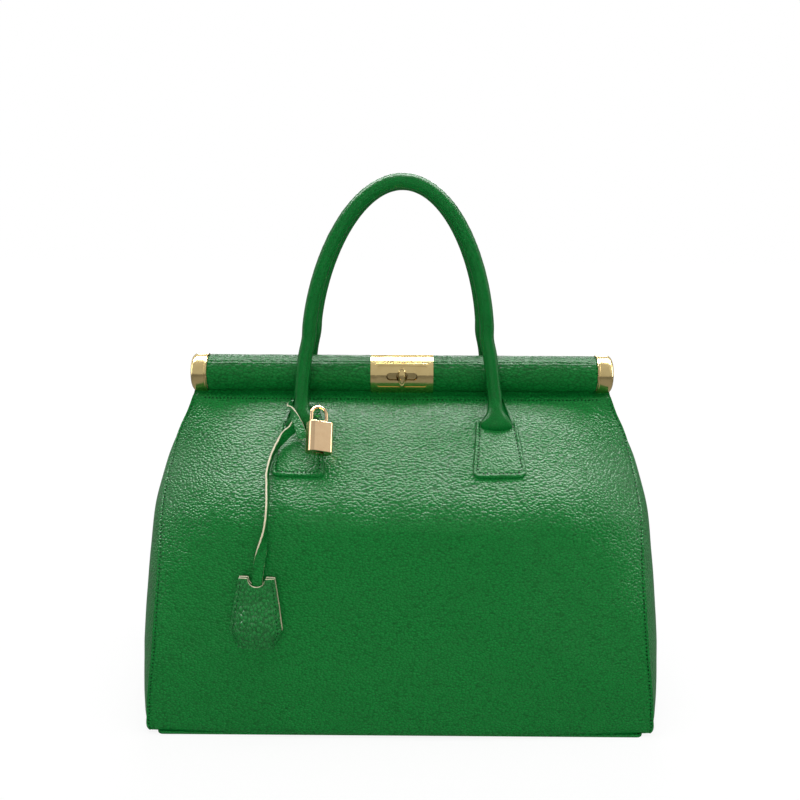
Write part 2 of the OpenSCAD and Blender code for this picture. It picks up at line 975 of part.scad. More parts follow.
module neck(grow) {
    hull() {
        translate([leg_x, -foot_y - neck_step, neck_top_z - over])
            cylinder(r = neck_r + grow, h = over, $fn = hull_fn);
        for (x = [-neck_low_half_x, neck_low_half_x])
            translate([leg_x + x, -slope_y(neck_low_z) - tab_t - gap - neck_low_r,
                       neck_low_z])
                sphere(r = neck_low_r + grow, $fn = hull_fn / 2);
    }
}

module handle_tabs() {
    for (side = [0, 1])
        mirror([side, 0, 0]) {
            tab_sheet();
            neck(0);
        }
}

module front_handle_tabs() {
    color(leather_green)
        handle_tabs();
}

module rear_handle_tabs() {
    color(leather_green)
        to_front()
            handle_tabs();
}

// Rolled handles: two legs, then an arch that is narrower at its top than an ellipse
arch_top_z = handle_top_z - handle_d / 2;

function handle_lean(z) =
    handle_mid_y + (handle_top_y - handle_mid_y) * (z - arch_low_z) / (arch_top_z - arch_low_z);
function arch_point(a) =
    let (z = arch_low_z + (arch_top_z - arch_low_z) * pow(sin(a), 2 / arch_power))
    [arch_half_x * cos(a), -handle_lean(z), z];
function leg_points(side) = [
    [side * leg_x, -foot_y, foot_z],
    [side * (leg_x * 2 + arch_half_x) / 3, -(foot_y * 2 + handle_mid_y) / 3,
     (foot_z * 2 + arch_low_z) / 3],
    [side * (leg_x + arch_half_x * 2) / 3, -(foot_y + handle_mid_y * 3) / 4,
     (foot_z + arch_low_z * 2) / 3],
];
handle_path = concat(
    leg_points(1),
    [for (i = [0:handle_arc_n]) arch_point(180 * i / handle_arc_n)],
    [for (i = [2:-1:0]) leg_points(-1)[i]]
);

function handle_rings(r) = [
    for (i = [0:len(handle_path) - 1])
        round_ring(handle_path[i], tangent(handle_path, i), r, handle_sides)
];

module handle_skin() {
    sweep_pipe(handle_rings(handle_d / 2), handle_rings(handle_core_d / 2 + fit));
    for (side = [-1, 1])
        difference() {
            rod_x(foot_r, side * leg_x - handle_d / 2, side * leg_x + handle_d / 2,
                  -foot_y, foot_z);
            translate([side * leg_x - handle_d, -foot_y - handle_d, foot_z])
                cube([2 * handle_d, 2 * handle_d, handle_d]);
        }
}

module handle_cord() {
    sweep(handle_rings(handle_core_d / 2));
}

module front_handle() {
    color(leather_green)
        handle_skin();
}

module rear_handle() {
    color(leather_green)
        to_front()
            handle_skin();
}

module front_handle_core() {
    color(cloth_tan)
        handle_cord();
}

module rear_handle_core() {
    color(cloth_tan)
        to_front()
            handle_cord();
}

// Strap loop round the front handle's left neck, with its tail and the padlock's eye
module strap_loop() {
    color(leather_green) {
        difference() {
            intersection() {
                to_left()
                    neck(loop_gap + loop_t);
                translate([-2 * leg_x, -2 * leg_x, loop_low_z])
                    cube([2 * leg_x, 2 * leg_x, loop_high_z - loop_low_z]);
            }
            to_left()
                neck(loop_gap);
        }
        hull()
            for (p = [tail_from, tail_to])
                translate(p)
                    rotate([lock_tilt - 90 - lock_tilt / 2, 0, 0])
                        cylinder(d = tail_w, h = loop_t, center = true, $fn = hull_fn);
        hull()
            for (p = [eye_from, eye_to])
                translate(p)
                    cylinder(r = eye_r, h = loop_t, center = true, $fn = hull_fn);
    }
}

module key_strap() {
    color(leather_green)
        sweep([
            for (i = [0:len(strap_route) - 1])
                flat_ring(strap_route[i], tangent(strap_route, i), strap_turns[i],
                          strap_w, strap_t)
        ]);
}

// Key bell: two leather leaves with the strap and keys between them
bell_notch_r = bell_notch_share * bell_w;

module bell_leaf() {
    difference() {
        linear_extrude(bell_leaf_t)
            polygon(concat(
                [for (p = bell_outline_shares) [p[0] * bell_w, p[1] * bell_h]],
                [[-bell_notch_share * bell_w, bell_h],
                 [-bell_outline_shares[7][0] * bell_w, bell_h],
                 [-bell_outline_shares[6][0] * bell_w, bell_outline_shares[6][1] * bell_h]]
            ));
        translate([0, bell_h, -over])
            cylinder(r = bell_notch_r, h = bell_leaf_t + 2 * over, $fn = round_fn);
    }
}

module bell_place(back_y) {
    translate([bell_x, -back_y, bell_low_z])
        rotate([0, bell_lean, 0])
            rotate([90, 0, 0])
                children();
}

module bell_back() {
    color(leather_green)
        bell_place(bell_back_y)
            bell_leaf();
}

module bell_front() {
    color(leather_green)
        bell_place(bell_back_y + bell_leaf_t + bell_room)
            bell_leaf();
}

module keys() {
    color(gold)
        for (x = [-key_x, key_x])
            bell_place(key_y)
                translate([x, bell_h / 2, 0])
                    linear_extrude(key_t)
                        difference() {
                            union() {
                                circle(key_bow_r, $fn = round_fn);
                                translate([-key_blade_w / 2, -key_len])
                                    square([key_blade_w, key_len]);
                            }
                            circle(key_hole_r, $fn = round_fn);
                        }
}

// Padlock, drawn hanging from the top of its shackle and then set in place
module lock_place() {
    translate(lock_pivot)
        rotate([lock_tilt, 0, 0])
            rotate([0, 0, lock_yaw])
                children();
}

module case_block() {
    translate([0, 0, -case_drop - case_h])
        linear_extrude(case_h)
            rounded_box(case_w, case_t, case_r);
}

module padlock_case() {
    color(rose_gold)
        lock_place()
            difference() {
                case_block();
                for (leg = [[-shackle_span / 2, long_sink], [shackle_span / 2, short_sink]])
                    translate([leg[0], 0, -case_drop - leg[1] - fit])
                        cylinder(r = shackle_bore_r, h = 2 * long_sink, $fn = round_fn);
                translate([0, 0, -case_drop - case_h - over])
                    cylinder(r = plug_r + fit, h = over + 4 * plug_t, $fn = round_fn);
            }
}

module padlock_plug() {
    color(gold)
        lock_place()
            translate([0, 0, -case_drop - case_h])
                cylinder(r = plug_r, h = 4 * plug_t - fit, $fn = round_fn);
}

module padlock_shackle() {
    bend_r = shackle_span / 2;
    color(rose_gold)
        lock_place() {
            translate([0, 0, -bend_r])
                rotate([90, 0, 0])
                    rotate_extrude(angle = 180, $fn = round_fn)
                        translate([bend_r, 0])
                            circle(wire_d / 2, $fn = hull_fn);
            for (leg = [[-bend_r, long_sink], [bend_r, short_sink]])
                translate([leg[0], 0, -case_drop - leg[1]])
                    cylinder(d = wire_d, h = case_drop + leg[1] - bend_r, $fn = round_fn);
        }
}

base_panel();
base_board();
front_panel();
rear_panel();
left_gusset();
right_gusset();
left_gusset_fold();
right_gusset_fold();
hinge_pins();
hinge_washers();
lining();
slip_pocket();
zip_welt();
zip_tape();
zip_slider();
front_frame_strip();
rear_frame_strip();
front_bar_core();
rear_bar_core();
front_bar_cover();
rear_bar_cover();
front_left_cap();
front_right_cap();
rear_left_cap();
rear_right_cap();
lock_plate();
rear_lock_plate();
lock_base();
lock_screws();
turn_button();
front_slope();
rear_slope();
front_slope_lining();
rear_slope_lining();
front_handle_tabs();
rear_handle_tabs();
front_handle();
rear_handle();
front_handle_core();
rear_handle_core();
strap_loop();
key_strap();
keys();
bell_front();
bell_back();
padlock_case();
padlock_plug();
padlock_shackle();
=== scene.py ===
import math

import bmesh
import bpy
from mathutils import Matrix, Vector, noise


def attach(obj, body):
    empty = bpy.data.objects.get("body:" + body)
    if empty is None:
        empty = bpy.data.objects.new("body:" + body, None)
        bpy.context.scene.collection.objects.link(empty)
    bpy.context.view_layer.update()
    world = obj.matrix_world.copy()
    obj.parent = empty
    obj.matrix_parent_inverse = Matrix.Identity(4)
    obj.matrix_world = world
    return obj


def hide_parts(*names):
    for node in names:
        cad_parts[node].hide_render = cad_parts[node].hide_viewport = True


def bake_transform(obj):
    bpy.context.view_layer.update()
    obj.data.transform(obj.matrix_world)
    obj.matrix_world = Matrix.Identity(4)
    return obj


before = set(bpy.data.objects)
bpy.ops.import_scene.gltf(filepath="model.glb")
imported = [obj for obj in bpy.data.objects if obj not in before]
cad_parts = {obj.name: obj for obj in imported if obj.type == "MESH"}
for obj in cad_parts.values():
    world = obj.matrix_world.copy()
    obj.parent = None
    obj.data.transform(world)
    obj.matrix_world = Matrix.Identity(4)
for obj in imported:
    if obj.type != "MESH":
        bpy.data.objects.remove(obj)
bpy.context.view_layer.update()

# Camera. It stands in front of the bag, a little above the bar, and looks slightly down, so that
# the bag's corners, bar and handle fall where they do in the photograph.
LENS_LENGTH, FILM_WIDTH = 40.95, 36
CAMERA_PLACE = (0.00129, -0.650, 0.350)
CAMERA_PAN, CAMERA_DIP, CAMERA_ROLL = 0.23, 11.54, 0.30
camera_data = bpy.data.cameras.new("front_camera")
camera_data.lens = LENS_LENGTH
camera_data.sensor_width = FILM_WIDTH
camera = bpy.data.objects.new("front_camera", camera_data)
bpy.context.scene.collection.objects.link(camera)
camera.matrix_world = (Matrix.Translation(CAMERA_PLACE)
                       @ Matrix.Rotation(math.radians(CAMERA_PAN), 4, "Z")
                       @ Matrix.Rotation(math.radians(90 - CAMERA_DIP), 4, "X")
                       @ Matrix.Rotation(math.radians(CAMERA_ROLL), 4, "Z"))
bpy.context.scene.camera = camera

# Front and rear leather. Each side is one sheet of tumbled cow leather: a nearly upright wall,
# a soft crease, and a slope up to the bar. It is turned over at the sides and sewn to the gussets
# with a green thread, coloured darker as painted shade of its holes. Sizes here and below are millimetres,
# and a material's metres.
MM = 0.001
# The second colour is painted shade: the darker green laid into the grain's grooves.
GREEN, GREEN_GROOVE_SHADE = (0.0030, 0.146, 0.0225, 1), (0.0013, 0.078, 0.0110, 1)
GRAIN_SLANT, GRAIN_DRIFT, PORE_SHARE = math.radians(28), 0.0014, 0.02


def new_material(name):
    material = bpy.data.materials.new(name)
    material.use_nodes = True
    return material, material.node_tree, material.node_tree.nodes["Principled BSDF"]


def set_inputs(tree, node, inputs):
    """Links the inputs that are given a socket, and sets those that are given a value."""
    for key, value in inputs.items():
        if isinstance(value, bpy.types.NodeSocket):
            tree.links.new(value, node.inputs[key])
        else:
            node.inputs[key].default_value = value


def add(tree, kind, inputs=None, **settings):
    node = tree.nodes.new(kind)
    for key, value in settings.items():
        setattr(node, key, value)
    set_inputs(tree, node, inputs or {})
    return node


def object_place(tree):
    return add(tree, "ShaderNodeTexCoord").outputs["Object"]


def mix_colours(tree, factor, first, second):
    inputs = {0: factor, 6: first, 7: second}
    return add(tree, "ShaderNodeMix", inputs, data_type="RGBA").outputs[2]


def calculate(tree, operation, first, second=0.0):
    return add(tree, "ShaderNodeMath", {0: first, 1: second}, operation=operation).outputs[0]


def vector_math(tree, operation, inputs):
    return add(tree, "ShaderNodeVectorMath", inputs, operation=operation).outputs[0]


def remap(tree, value, low, high, to_low, to_high, smooth=True):
    return add(tree, "ShaderNodeMapRange",
               {"Value": value, "From Min": low, "From Max": high,
                "To Min": to_low, "To Max": to_high},
               interpolation_type="SMOOTHSTEP" if smooth else "LINEAR").outputs[0]


def mottle(tree, place, scale, detail, output="Fac"):
    inputs = {"Vector": place, "Scale": scale, "Detail": detail}
    return add(tree, "ShaderNodeTexNoise", inputs).outputs[output]


def bands(tree, place, direction, **inputs):
    return add(tree, "ShaderNodeTexWave", {"Vector": place, **inputs},
               bands_direction=direction).outputs["Fac"]


def raised(tree, height, distance, strength=1.0):
    inputs = {"Height": height, "Strength": strength, "Distance": distance}
    return add(tree, "ShaderNodeBump", inputs).outputs[0]


def grain_leather(name, cell=2.2, relief=0.00044, gloss=0.34, stretch=(1.0, 1.0, 1.6),
                  shine=0.20, tone=1.0):
    """Tumbled leather: domed pebbles along slanting creases, cell millimetres wide each, with painted
    shade in the grooves.
    """
    material, tree, shader = new_material(name)
    place = object_place(tree)
    slanted = add(tree, "ShaderNodeMapping",
                  {"Vector": place, "Rotation": (0.0, GRAIN_SLANT, 0.0),
                   "Scale": stretch}).outputs[0]
    drift = mottle(tree, place, 150.0, 1.0, "Color")
    drift = vector_math(tree, "SUBTRACT", {0: drift, 1: (0.5, 0.5, 0.5)})
    drift = vector_math(tree, "SCALE", {0: drift, "Scale": GRAIN_DRIFT})
    warped = vector_math(tree, "ADD", {0: slanted, 1: drift})
    cells = {"Vector": warped, "Scale": 1000 / cell}
    centre = add(tree, "ShaderNodeTexVoronoi", cells, feature="F1").outputs["Distance"]
    edge = add(tree, "ShaderNodeTexVoronoi", cells,
               feature="DISTANCE_TO_EDGE").outputs["Distance"]
    dome = calculate(tree, "MULTIPLY", centre, centre)
    pebble = remap(tree, dome, 0.0, 0.55, 1.0, 0.0, smooth=False)
    pores = mottle(tree, place, 1900.0, 2.0)
    patches = mottle(tree, place, 42.0, 3.0)
    height = calculate(tree, "MULTIPLY", pebble, remap(tree, patches, 0.32, 0.68, 0.7, 1.15))
    height = calculate(tree, "ADD", height, calculate(tree, "MULTIPLY", pores, PORE_SHARE))
    # Painted shade: the grain's grooves are coloured darker, as the shade that falls in them.
    base = mix_colours(tree, remap(tree, edge, 0.01, 0.16, 0.0, 1.0), GREEN_GROOVE_SHADE, GREEN)
    shade = remap(tree, patches, 0.25, 0.75, 0.95 * tone, 1.05 * tone, smooth=False)
    set_inputs(tree, shader, {
        "Base Color": vector_math(tree, "SCALE", {0: base, "Scale": shade}),
        "Normal": raised(tree, height, relief),
        "Roughness": remap(tree, pores, 0.2, 0.8, gloss - 0.04, gloss + 0.05, smooth=False),
        "Specular IOR Level": shine})
    return material


leather = grain_leather("green_pebbled_leather")
fine_leather = grain_leather("green_fine_leather", cell=1.9, relief=0.00034, gloss=0.34)
thread, thread_tree, thread_shader = new_material("green_thread")
twist = bands(thread_tree, object_place(thread_tree), "DIAGONAL", Scale=900.0, Distortion=2.0)
# The thread is green, and its near-black tones are partly painted shade of the holes it sinks into.
set_inputs(thread_tree, thread_shader, {
    "Base Color": mix_colours(thread_tree, twist, (0.0005, 0.012, 0.003, 1),
                              (0.001, 0.030, 0.007, 1)),
    "Normal": raised(thread_tree, twist, 0.00008),
    "Roughness": 0.6, "Specular IOR Level": 0.1})

BAG_MIDDLE = (0, 0, 90)
WALL_Y, WALL_SWELL = 85, 2
CREASE_Z, CREASE_SOFT = 158, 12
SLOPE_TOP_Z, SLOPE_TOP_Y, SLOPE_SWELL_POWER = 222.5, 8, 0.85
SEAM_Z = 2.4
LEATHER_T = 1.6
# How far the foot of the wall bows out, and the height where that ends
BASE_BOW, BOW_TOP_Z = 4.5, 120
# Height, and half the sheet's width there
PANEL_HALF = [(0, 170.5), (6, 173.2), (15, 172.6), (30, 171.3), (60, 167.6), (90, 165.6),
              (120, 165.0), (150, 166.8), (170, 166.6), (180, 165.3), (190, 163.6),
              (200, 159.8), (210, 154.8), (222.5, 149.7)]
# Height, and how far the sheet's side edges stand in front of the bag's middle
EDGE_DEPTH = [(0, 85), (30, 86), (60, 84.5), (90, 78.5), (120, 67), (145, 51), (165, 31),
              (180, 16), (192, 9.5), (230, 9.5)]
# How sharply the sheet turns back to its side edges
EDGE_POWER = 4


def between(t, table):
    """A smooth curve through the table's points."""
    t = min(max(t, table[0][0]), table[-1][0])
    i = max(k for k in range(len(table) - 1) if table[k][0] <= t)

    def lean(k):
        a, b = table[max(k - 1, 0)], table[min(k + 1, len(table) - 1)]
        return (b[1] - a[1]) / (b[0] - a[0])

    (x0, y0), (x1, y1) = table[i], table[i + 1]
    w = x1 - x0
    s = (t - x0) / w
    return ((2 * s**3 - 3 * s**2 + 1) * y0 + (s**3 - 2 * s**2 + s) * w * lean(i)
            + (3 * s**2 - 2 * s**3) * y1 + (s**3 - s**2) * w * lean(i + 1))


def evenly(low, high, count):
    """Values at count equal steps from low to high."""
    return [low + (high - low) * k / count for k in range(count + 1)]


def ease(t):
    t = min(max(t, 0), 1)
    return t * t * (3 - 2 * t)


def hump(distance, width):
    """The height of a smooth ridge, 1 at its middle, at a distance from it."""
    return math.exp(-((distance / width) ** 2))


def uneven(x, y, z):
    return noise.noise(Vector((x, y, z)))


def panel_half(z):
    return between(z, PANEL_HALF)


def edge_y(z):
    return between(z, EDGE_DEPTH)


def middle_y(z):
    """Wall and slope at the middle of the bag, run together over a soft crease."""
    rise = max(SLOPE_TOP_Z - z, 0) / (SLOPE_TOP_Z - CREASE_Z)
    slope = SLOPE_TOP_Y + (WALL_Y - SLOPE_TOP_Y) * rise ** SLOPE_SWELL_POWER
    wall = WALL_Y + WALL_SWELL * math.sin(math.pi * min(z, CREASE_Z) / CREASE_Z)
    h = max(CREASE_SOFT - abs(wall - slope), 0) / CREASE_SOFT
    return min(wall, slope) - h * h * CREASE_SOFT / 4


def base_bow(u, z):
    """How far the filled bag pushes the foot of its walls out between the corners."""
    return BASE_BOW * (1 - u * u) * ease(1 - z / BOW_TOP_Z)


def skin_y(x, z):
    """Where the leather is, without its waves, bow and seams."""
    u = min(abs(x) / panel_half(z), 1)
    middle = middle_y(z)
    return middle + (min(edge_y(z), middle) - middle) * u ** EDGE_POWER


# The sheet's profile from the base seam up to where it tucks under the bar
profile = [(z, middle_y(z)) for z in evenly(SEAM_Z, SLOPE_TOP_Z, 400)]
profile += [(223.4, 6.4), (224.2, 5.0), (225.2, 3.9)]
lengths = [0]
for (z0, y0), (z1, y1) in zip(profile, profile[1:]):
    lengths.append(lengths[-1] + math.hypot(z1 - z0, y1 - y0))


def profile_at(share):
    """Height and depth at a share of the profile's length."""
    target = share * lengths[-1]
    k = min(max(i for i, s in enumerate(lengths) if s <= target), len(lengths) - 2)
    t = (target - lengths[k]) / (lengths[k + 1] - lengths[k])
    (z0, y0), (z1, y1) = profile[k], profile[k + 1]
    return z0 + (z1 - z0) * t, y0 + (y1 - y0) * t


# Where the leather starts to face upwards, over what height it turns, and how far, in radians
LEAN_LOW_Z, LEAN_RISE, SLOPE_LEAN = 146, 24, 0.7
SAG_DEPTH, RIPPLE_DEPTH = 0.9, 0.18
ROLL_HEIGHT, ROLL_WIDTH = 0.30, 0.9
SEAM_INSET, SEAM_DEPTH, SEAM_WIDTH, PUCKER_RATE = 1.7, 0.55, 0.75, 1.85
FOOT_TUCK, FOOT_ROLL = 1.3, 1.6


def foot_turn(z):
    """How strongly the leather turns in to the base seam."""
    return math.exp(-(z - SEAM_Z) / FOOT_ROLL)


def skin_point(u, z, middle, lift=0.0, seam=True):
    """A point of the front leather, lift out from it, with its turned edge and drawn-in seam."""
    half = panel_half(z)
    edge = min(edge_y(z), middle)
    y = middle + (edge - middle) * abs(u) ** EDGE_POWER + base_bow(u, z)
    x = half * u
    lean = ease((z - LEAN_LOW_Z) / LEAN_RISE) * SLOPE_LEAN
    out = Vector((0, -math.cos(lean), math.sin(lean)))
    inside = half - abs(x)
    wave = uneven(x / 70, z / 58, 3.1) * SAG_DEPTH + uneven(x / 24, z / 20, 8.4) * RIPPLE_DEPTH
    rise = lift + wave * (1 - abs(u) ** 10)
    if seam:
        pucker = 0.75 + 0.25 * math.sin(z * PUCKER_RATE) + 0.25 * uneven(x, z / 6, 0)
        rise += ROLL_HEIGHT * hump(inside, ROLL_WIDTH)
        rise -= SEAM_DEPTH * pucker * hump(inside - SEAM_INSET, SEAM_WIDTH)
    return Vector((x, -y + FOOT_TUCK * foot_turn(z), z)) + out * rise


def loft(rows, cols, place):
    """A grid whose points go where place says, from shares of the way across and along."""
    bm = bmesh.new()
    bmesh.ops.create_grid(bm, x_segments=cols, y_segments=rows, size=0.5)
    for v in bm.verts:
        v.co = place(v.co.x + 0.5, v.co.y + 0.5)
    return bm


def across(a):
    """A share of the way across, as -1 to 1, with the columns closer near the sides."""
    return math.sin(math.pi / 2 * (2 * a - 1))


def face_away(bm, inside):
    """Turns the faces so that they look away from a point."""
    inside = Vector(inside)
    bm.normal_update()
    if sum(f.normal.dot(f.calc_center_median() - inside) * f.calc_area()
           for f in bm.faces) < 0:
        bmesh.ops.reverse_faces(bm, faces=bm.faces)


def for_half(bm, way):
    """Leaves a mesh on the front of the bag, or mirrors it to the rear."""
    if way > 0:
        bmesh.ops.scale(bm, vec=(1, -1, 1), verts=bm.verts)
        bmesh.ops.reverse_faces(bm, faces=bm.faces)
    return bm


# The angle of shading with no sharp edge at all
ALL_SMOOTH = 180


def make_piece(name, bm, material, sharp=ALL_SMOOTH):
    """Turns a mesh made in millimetres into a finished piece in metres."""
    bmesh.ops.scale(bm, vec=(MM, MM, MM), verts=bm.verts)
    mesh = bpy.data.meshes.new(name)
    bm.to_mesh(mesh)
    bm.free()
    mesh.shade_smooth()
    mesh.set_sharp_from_angle(angle=math.radians(sharp))
    piece = bpy.data.objects.new(name, mesh)
    bpy.context.scene.collection.objects.link(piece)
    for m in material if isinstance(material, (list, tuple)) else [material]:
        mesh.materials.append(m)
    return piece


def soften(piece, width, segments=2, angle=50, keep_flats=False):
    soft = piece.modifiers.new("soft_edge", "BEVEL")
    soft.width = width * MM
    soft.segments = segments
    soft.limit_method = "ANGLE"
    soft.angle_limit = math.radians(angle)
    soft.harden_normals = keep_flats


def thicken(piece, thickness, rim=0, edge=0.35):
    solid = piece.modifiers.new("thickness", "SOLIDIFY")
    solid.thickness = thickness * MM
    solid.offset = -1
    solid.use_even_offset = False
    solid.material_offset_rim = rim
    soften(piece, edge)
    return piece


def direction(line, i):
    """The way a line of points runs at one of them."""
    return (line[min(i + 1, len(line) - 1)] - line[max(i - 1, 0)]).normalized()


def spaced(points, pitch):
    """Points at an even pitch along a line of points."""
    out, need = [points[0].copy()], pitch
    for a, b in zip(points, points[1:]):
        d = (b - a).length
        while need <= d:
            out.append(a.lerp(b, need / d))
            need += pitch
        need -= d
    return out


STITCH_PITCH, STITCH_LIFT = 2.7, 0.2
SIDE_SEAM_LOW_Z, SIDE_SEAM_TOP_Z = 5, 217
TOP_SEAM_Z, TOP_SEAM_HALF = 220.2, 141


def stitch_row(bm, points, facing, size=(0.68, 0.60, 0.38)):
    """Short thread stitches, one per point, where facing gives the way the leather looks."""
    for i, p in enumerate(points):
        t = direction(points, i)
        n = facing(p)
        n = (n - t * n.dot(t)).normalized()
        b = n.cross(t)
        turn = Matrix((t * size[0], b * size[1], n * size[2])).transposed().to_4x4()
        bmesh.ops.create_uvsphere(bm, u_segments=6, v_segments=4, radius=1,
                                  matrix=Matrix.Translation(p) @ turn)


def skin_normal(u, z, du=0.004, dz=0.5):
    """The way the leather faces at a point."""
    across_it = skin_point(u + du, z, middle_y(z)) - skin_point(u - du, z, middle_y(z))
    along_it = skin_point(u, z + dz, middle_y(z + dz)) - skin_point(u, z, middle_y(z))
    return across_it.cross(along_it).normalized()


def side_stitches():
    bm = bmesh.new()
    rows = [[(side * (1 - SEAM_INSET / panel_half(z)), z)
             for z in evenly(SIDE_SEAM_LOW_Z, SIDE_SEAM_TOP_Z, 400)] for side in (-1, 1)]
    rows.append([(x / panel_half(TOP_SEAM_Z), TOP_SEAM_Z)
                 for x in evenly(-TOP_SEAM_HALF, TOP_SEAM_HALF, 400)])
    for row in rows:
        line = [skin_point(u, z, middle_y(z), STITCH_LIFT) for u, z in row]
        stitch_row(bm, spaced(line, STITCH_PITCH),
                   lambda p: skin_normal(p.x / panel_half(p.z) * 0.98, p.z))
    return bm


HALVES = ((-1, "front", "front_frame"), (1, "rear", "rear_frame"))
for way, half, body in HALVES:
    bm = loft(150, 110, lambda a, b: skin_point(across(a), *profile_at(b)))
    face_away(bm, BAG_MIDDLE)
    skin = thicken(make_piece(half + "_leather", for_half(bm, way), leather),
                   LEATHER_T)
    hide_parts(half + "_panel", half + "_slope")
    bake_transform(skin)
    sewing = make_piece(half + "_leather_stitches", for_half(side_stitches(), way), thread)
    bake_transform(sewing)

# Gussets. The two ends are separate pieces of the same leather, bowed outwards, sewn behind the
# edges of the front and rear leather, with a pressed fold up the middle that lets the frame open.
SIDES = ((-1, "left"), (1, "right"))
GUSSET_TOP_Z, GUSSET_TUCK, GUSSET_FOOT_TUCK = 190, 0.9, 1.1
PRESS_DEPTH, PRESS_WIDTH, PRESS_LOW_Z, PRESS_RISE = 3.2, 0.16, 96, 66
# Height, and how far the gusset's middle bows out past the seams
GUSSET_BOW = [(0, 6), (5, 9), (15, 11.9), (30, 13.7), (45, 15.1), (60, 16.5), (90, 16.5),
              (120, 14.7), (150, 10.3), (170, 6), (180, 4.5), (190, 2.0)]


def gusset_half(side, way):
    def place(a, b):
        v = math.sin(math.pi / 2 * a)
        z = SEAM_Z + (GUSSET_TOP_Z - SEAM_Z) * b
        fold = PRESS_DEPTH * ease((z - PRESS_LOW_Z) / PRESS_RISE) * hump(v, PRESS_WIDTH)
        x = panel_half(z) - GUSSET_TUCK + between(z, GUSSET_BOW) * (1 - v ** 4) - fold
        x += 0.5 * uneven(v * 2, z / 30, side + 5) * (1 - v ** 6)
        x -= GUSSET_FOOT_TUCK * foot_turn(z)
        return Vector((side * x, way * v * (edge_y(z) - GUSSET_TUCK), z))

    bm = loft(96, 26, place)
    face_away(bm, BAG_MIDDLE)
    return bm


for side, end in SIDES:
    for way, half, body in HALVES:
        gusset = make_piece(f"{end}_gusset_{half}_half", gusset_half(side, way), leather)
        thicken(gusset, LEATHER_T, edge=0.2)
        if half == "front":
            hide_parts(end + "_gusset", end + "_gusset_fold")
        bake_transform(gusset)

# Tongues. A short leather tongue inside each gusset is folded round the hinge pin and sewn down,
# which carries the frame on the body. Its head is rounded about the pin.
HINGE_Z = 178
TONGUE_X, TONGUE_HALF, TONGUE_LOW_Z, TONGUE_FOOT = 152.3, 4.5, 142, 2.2
# Stands a flat outline up across the bag's width
STAND_EDGEWISE = Matrix(((0, 0, 1, 0), (1, 0, 0, 0), (0, 1, 0, 0), (0, 0, 0, 1)))


def of_kind(geometry, kind):
    return [g for g in geometry if isinstance(g, kind)]


for side, end in SIDES:
    bm = bmesh.new()
    bmesh.ops.create_circle(bm, cap_ends=True, segments=40, radius=TONGUE_HALF)
    for v in bm.verts:
        # The lower half of the circle is drawn down into a square foot
        if v.co.y < -0.01:
            v.co.x = math.copysign(TONGUE_HALF, v.co.x) if abs(v.co.x) > 0.3 else v.co.x
            v.co.y = (TONGUE_LOW_Z - HINGE_Z) * min(1, -v.co.y / TONGUE_FOOT)
    thick = bmesh.ops.extrude_face_region(bm, geom=bm.faces[:])
    bmesh.ops.translate(bm, vec=(0, 0, LEATHER_T),
                        verts=of_kind(thick["geom"], bmesh.types.BMVert))
    bmesh.ops.recalc_face_normals(bm, faces=bm.faces)
    bmesh.ops.transform(bm, verts=bm.verts,
                        matrix=Matrix.Translation((TONGUE_X, 0, HINGE_Z)) @ STAND_EDGEWISE)
    if side < 0:
        bmesh.ops.scale(bm, vec=(-1, 1, 1), verts=bm.verts)
        bmesh.ops.reverse_faces(bm, faces=bm.faces)
    tongue = make_piece(end + "_hinge_tongue", bm, fine_leather, 40)
    tongue_edge = tongue.modifiers.new("soft_edge", "BEVEL")
    tongue_edge.width, tongue_edge.segments = 0.3 * MM, 2
    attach(tongue, "body")

# Base. A flat sole of the same leather over a stiff board, its edge rounded over and painted,
# with the walls and gussets sewn to it all round.
SOLE_HALF = 180


def bevelled_copy(node, name, material, edge=0.25, segments=2, sharp=35):
    """The CAD piece with its corners softened, merged into one skin first."""
    bm = bmesh.new()
    bm.from_mesh(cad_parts[node].data)
    bmesh.ops.scale(bm, vec=(1 / MM, 1 / MM, 1 / MM), verts=bm.verts)
    bmesh.ops.remove_doubles(bm, verts=bm.verts, dist=0.002)
    bmesh.ops.dissolve_limit(bm, angle_limit=math.radians(0.6), verts=bm.verts,
                             edges=bm.edges, delimit=set())
    piece = make_piece(name, bm, material, sharp)
    soften(piece, edge, segments, sharp, keep_flats=True)
    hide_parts(node)
    return piece


def refinish(node, material):
    """Gives a CAD piece that stays as it is its own material."""
    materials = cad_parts[node].data.materials
    materials.clear()
    materials.append(material)


sole = bevelled_copy("base_panel", "leather_sole", leather, 0.8, 3)
for v in sole.data.vertices:
    v.co.y *= 1 + base_bow(v.co.x / MM / SOLE_HALF, 0) / WALL_Y
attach(sole, "body")

board, board_tree, board_shader = new_material("grey_board")
flecks = mottle(board_tree, object_place(board_tree), 420.0, 6.0)
set_inputs(board_tree, board_shader, {
    "Base Color": mix_colours(board_tree, flecks, (0.13, 0.085, 0.05, 1), (0.32, 0.23, 0.15, 1)),
    "Roughness": 0.9})
refinish("base_board", board)

# Lining. A loose bag of tan cotton twill hangs inside. Facings of the same cloth line the slopes
# up to the frame. It has an open pocket on the rear wall and a zipped one on the front.
CLOTH_T = 0.8


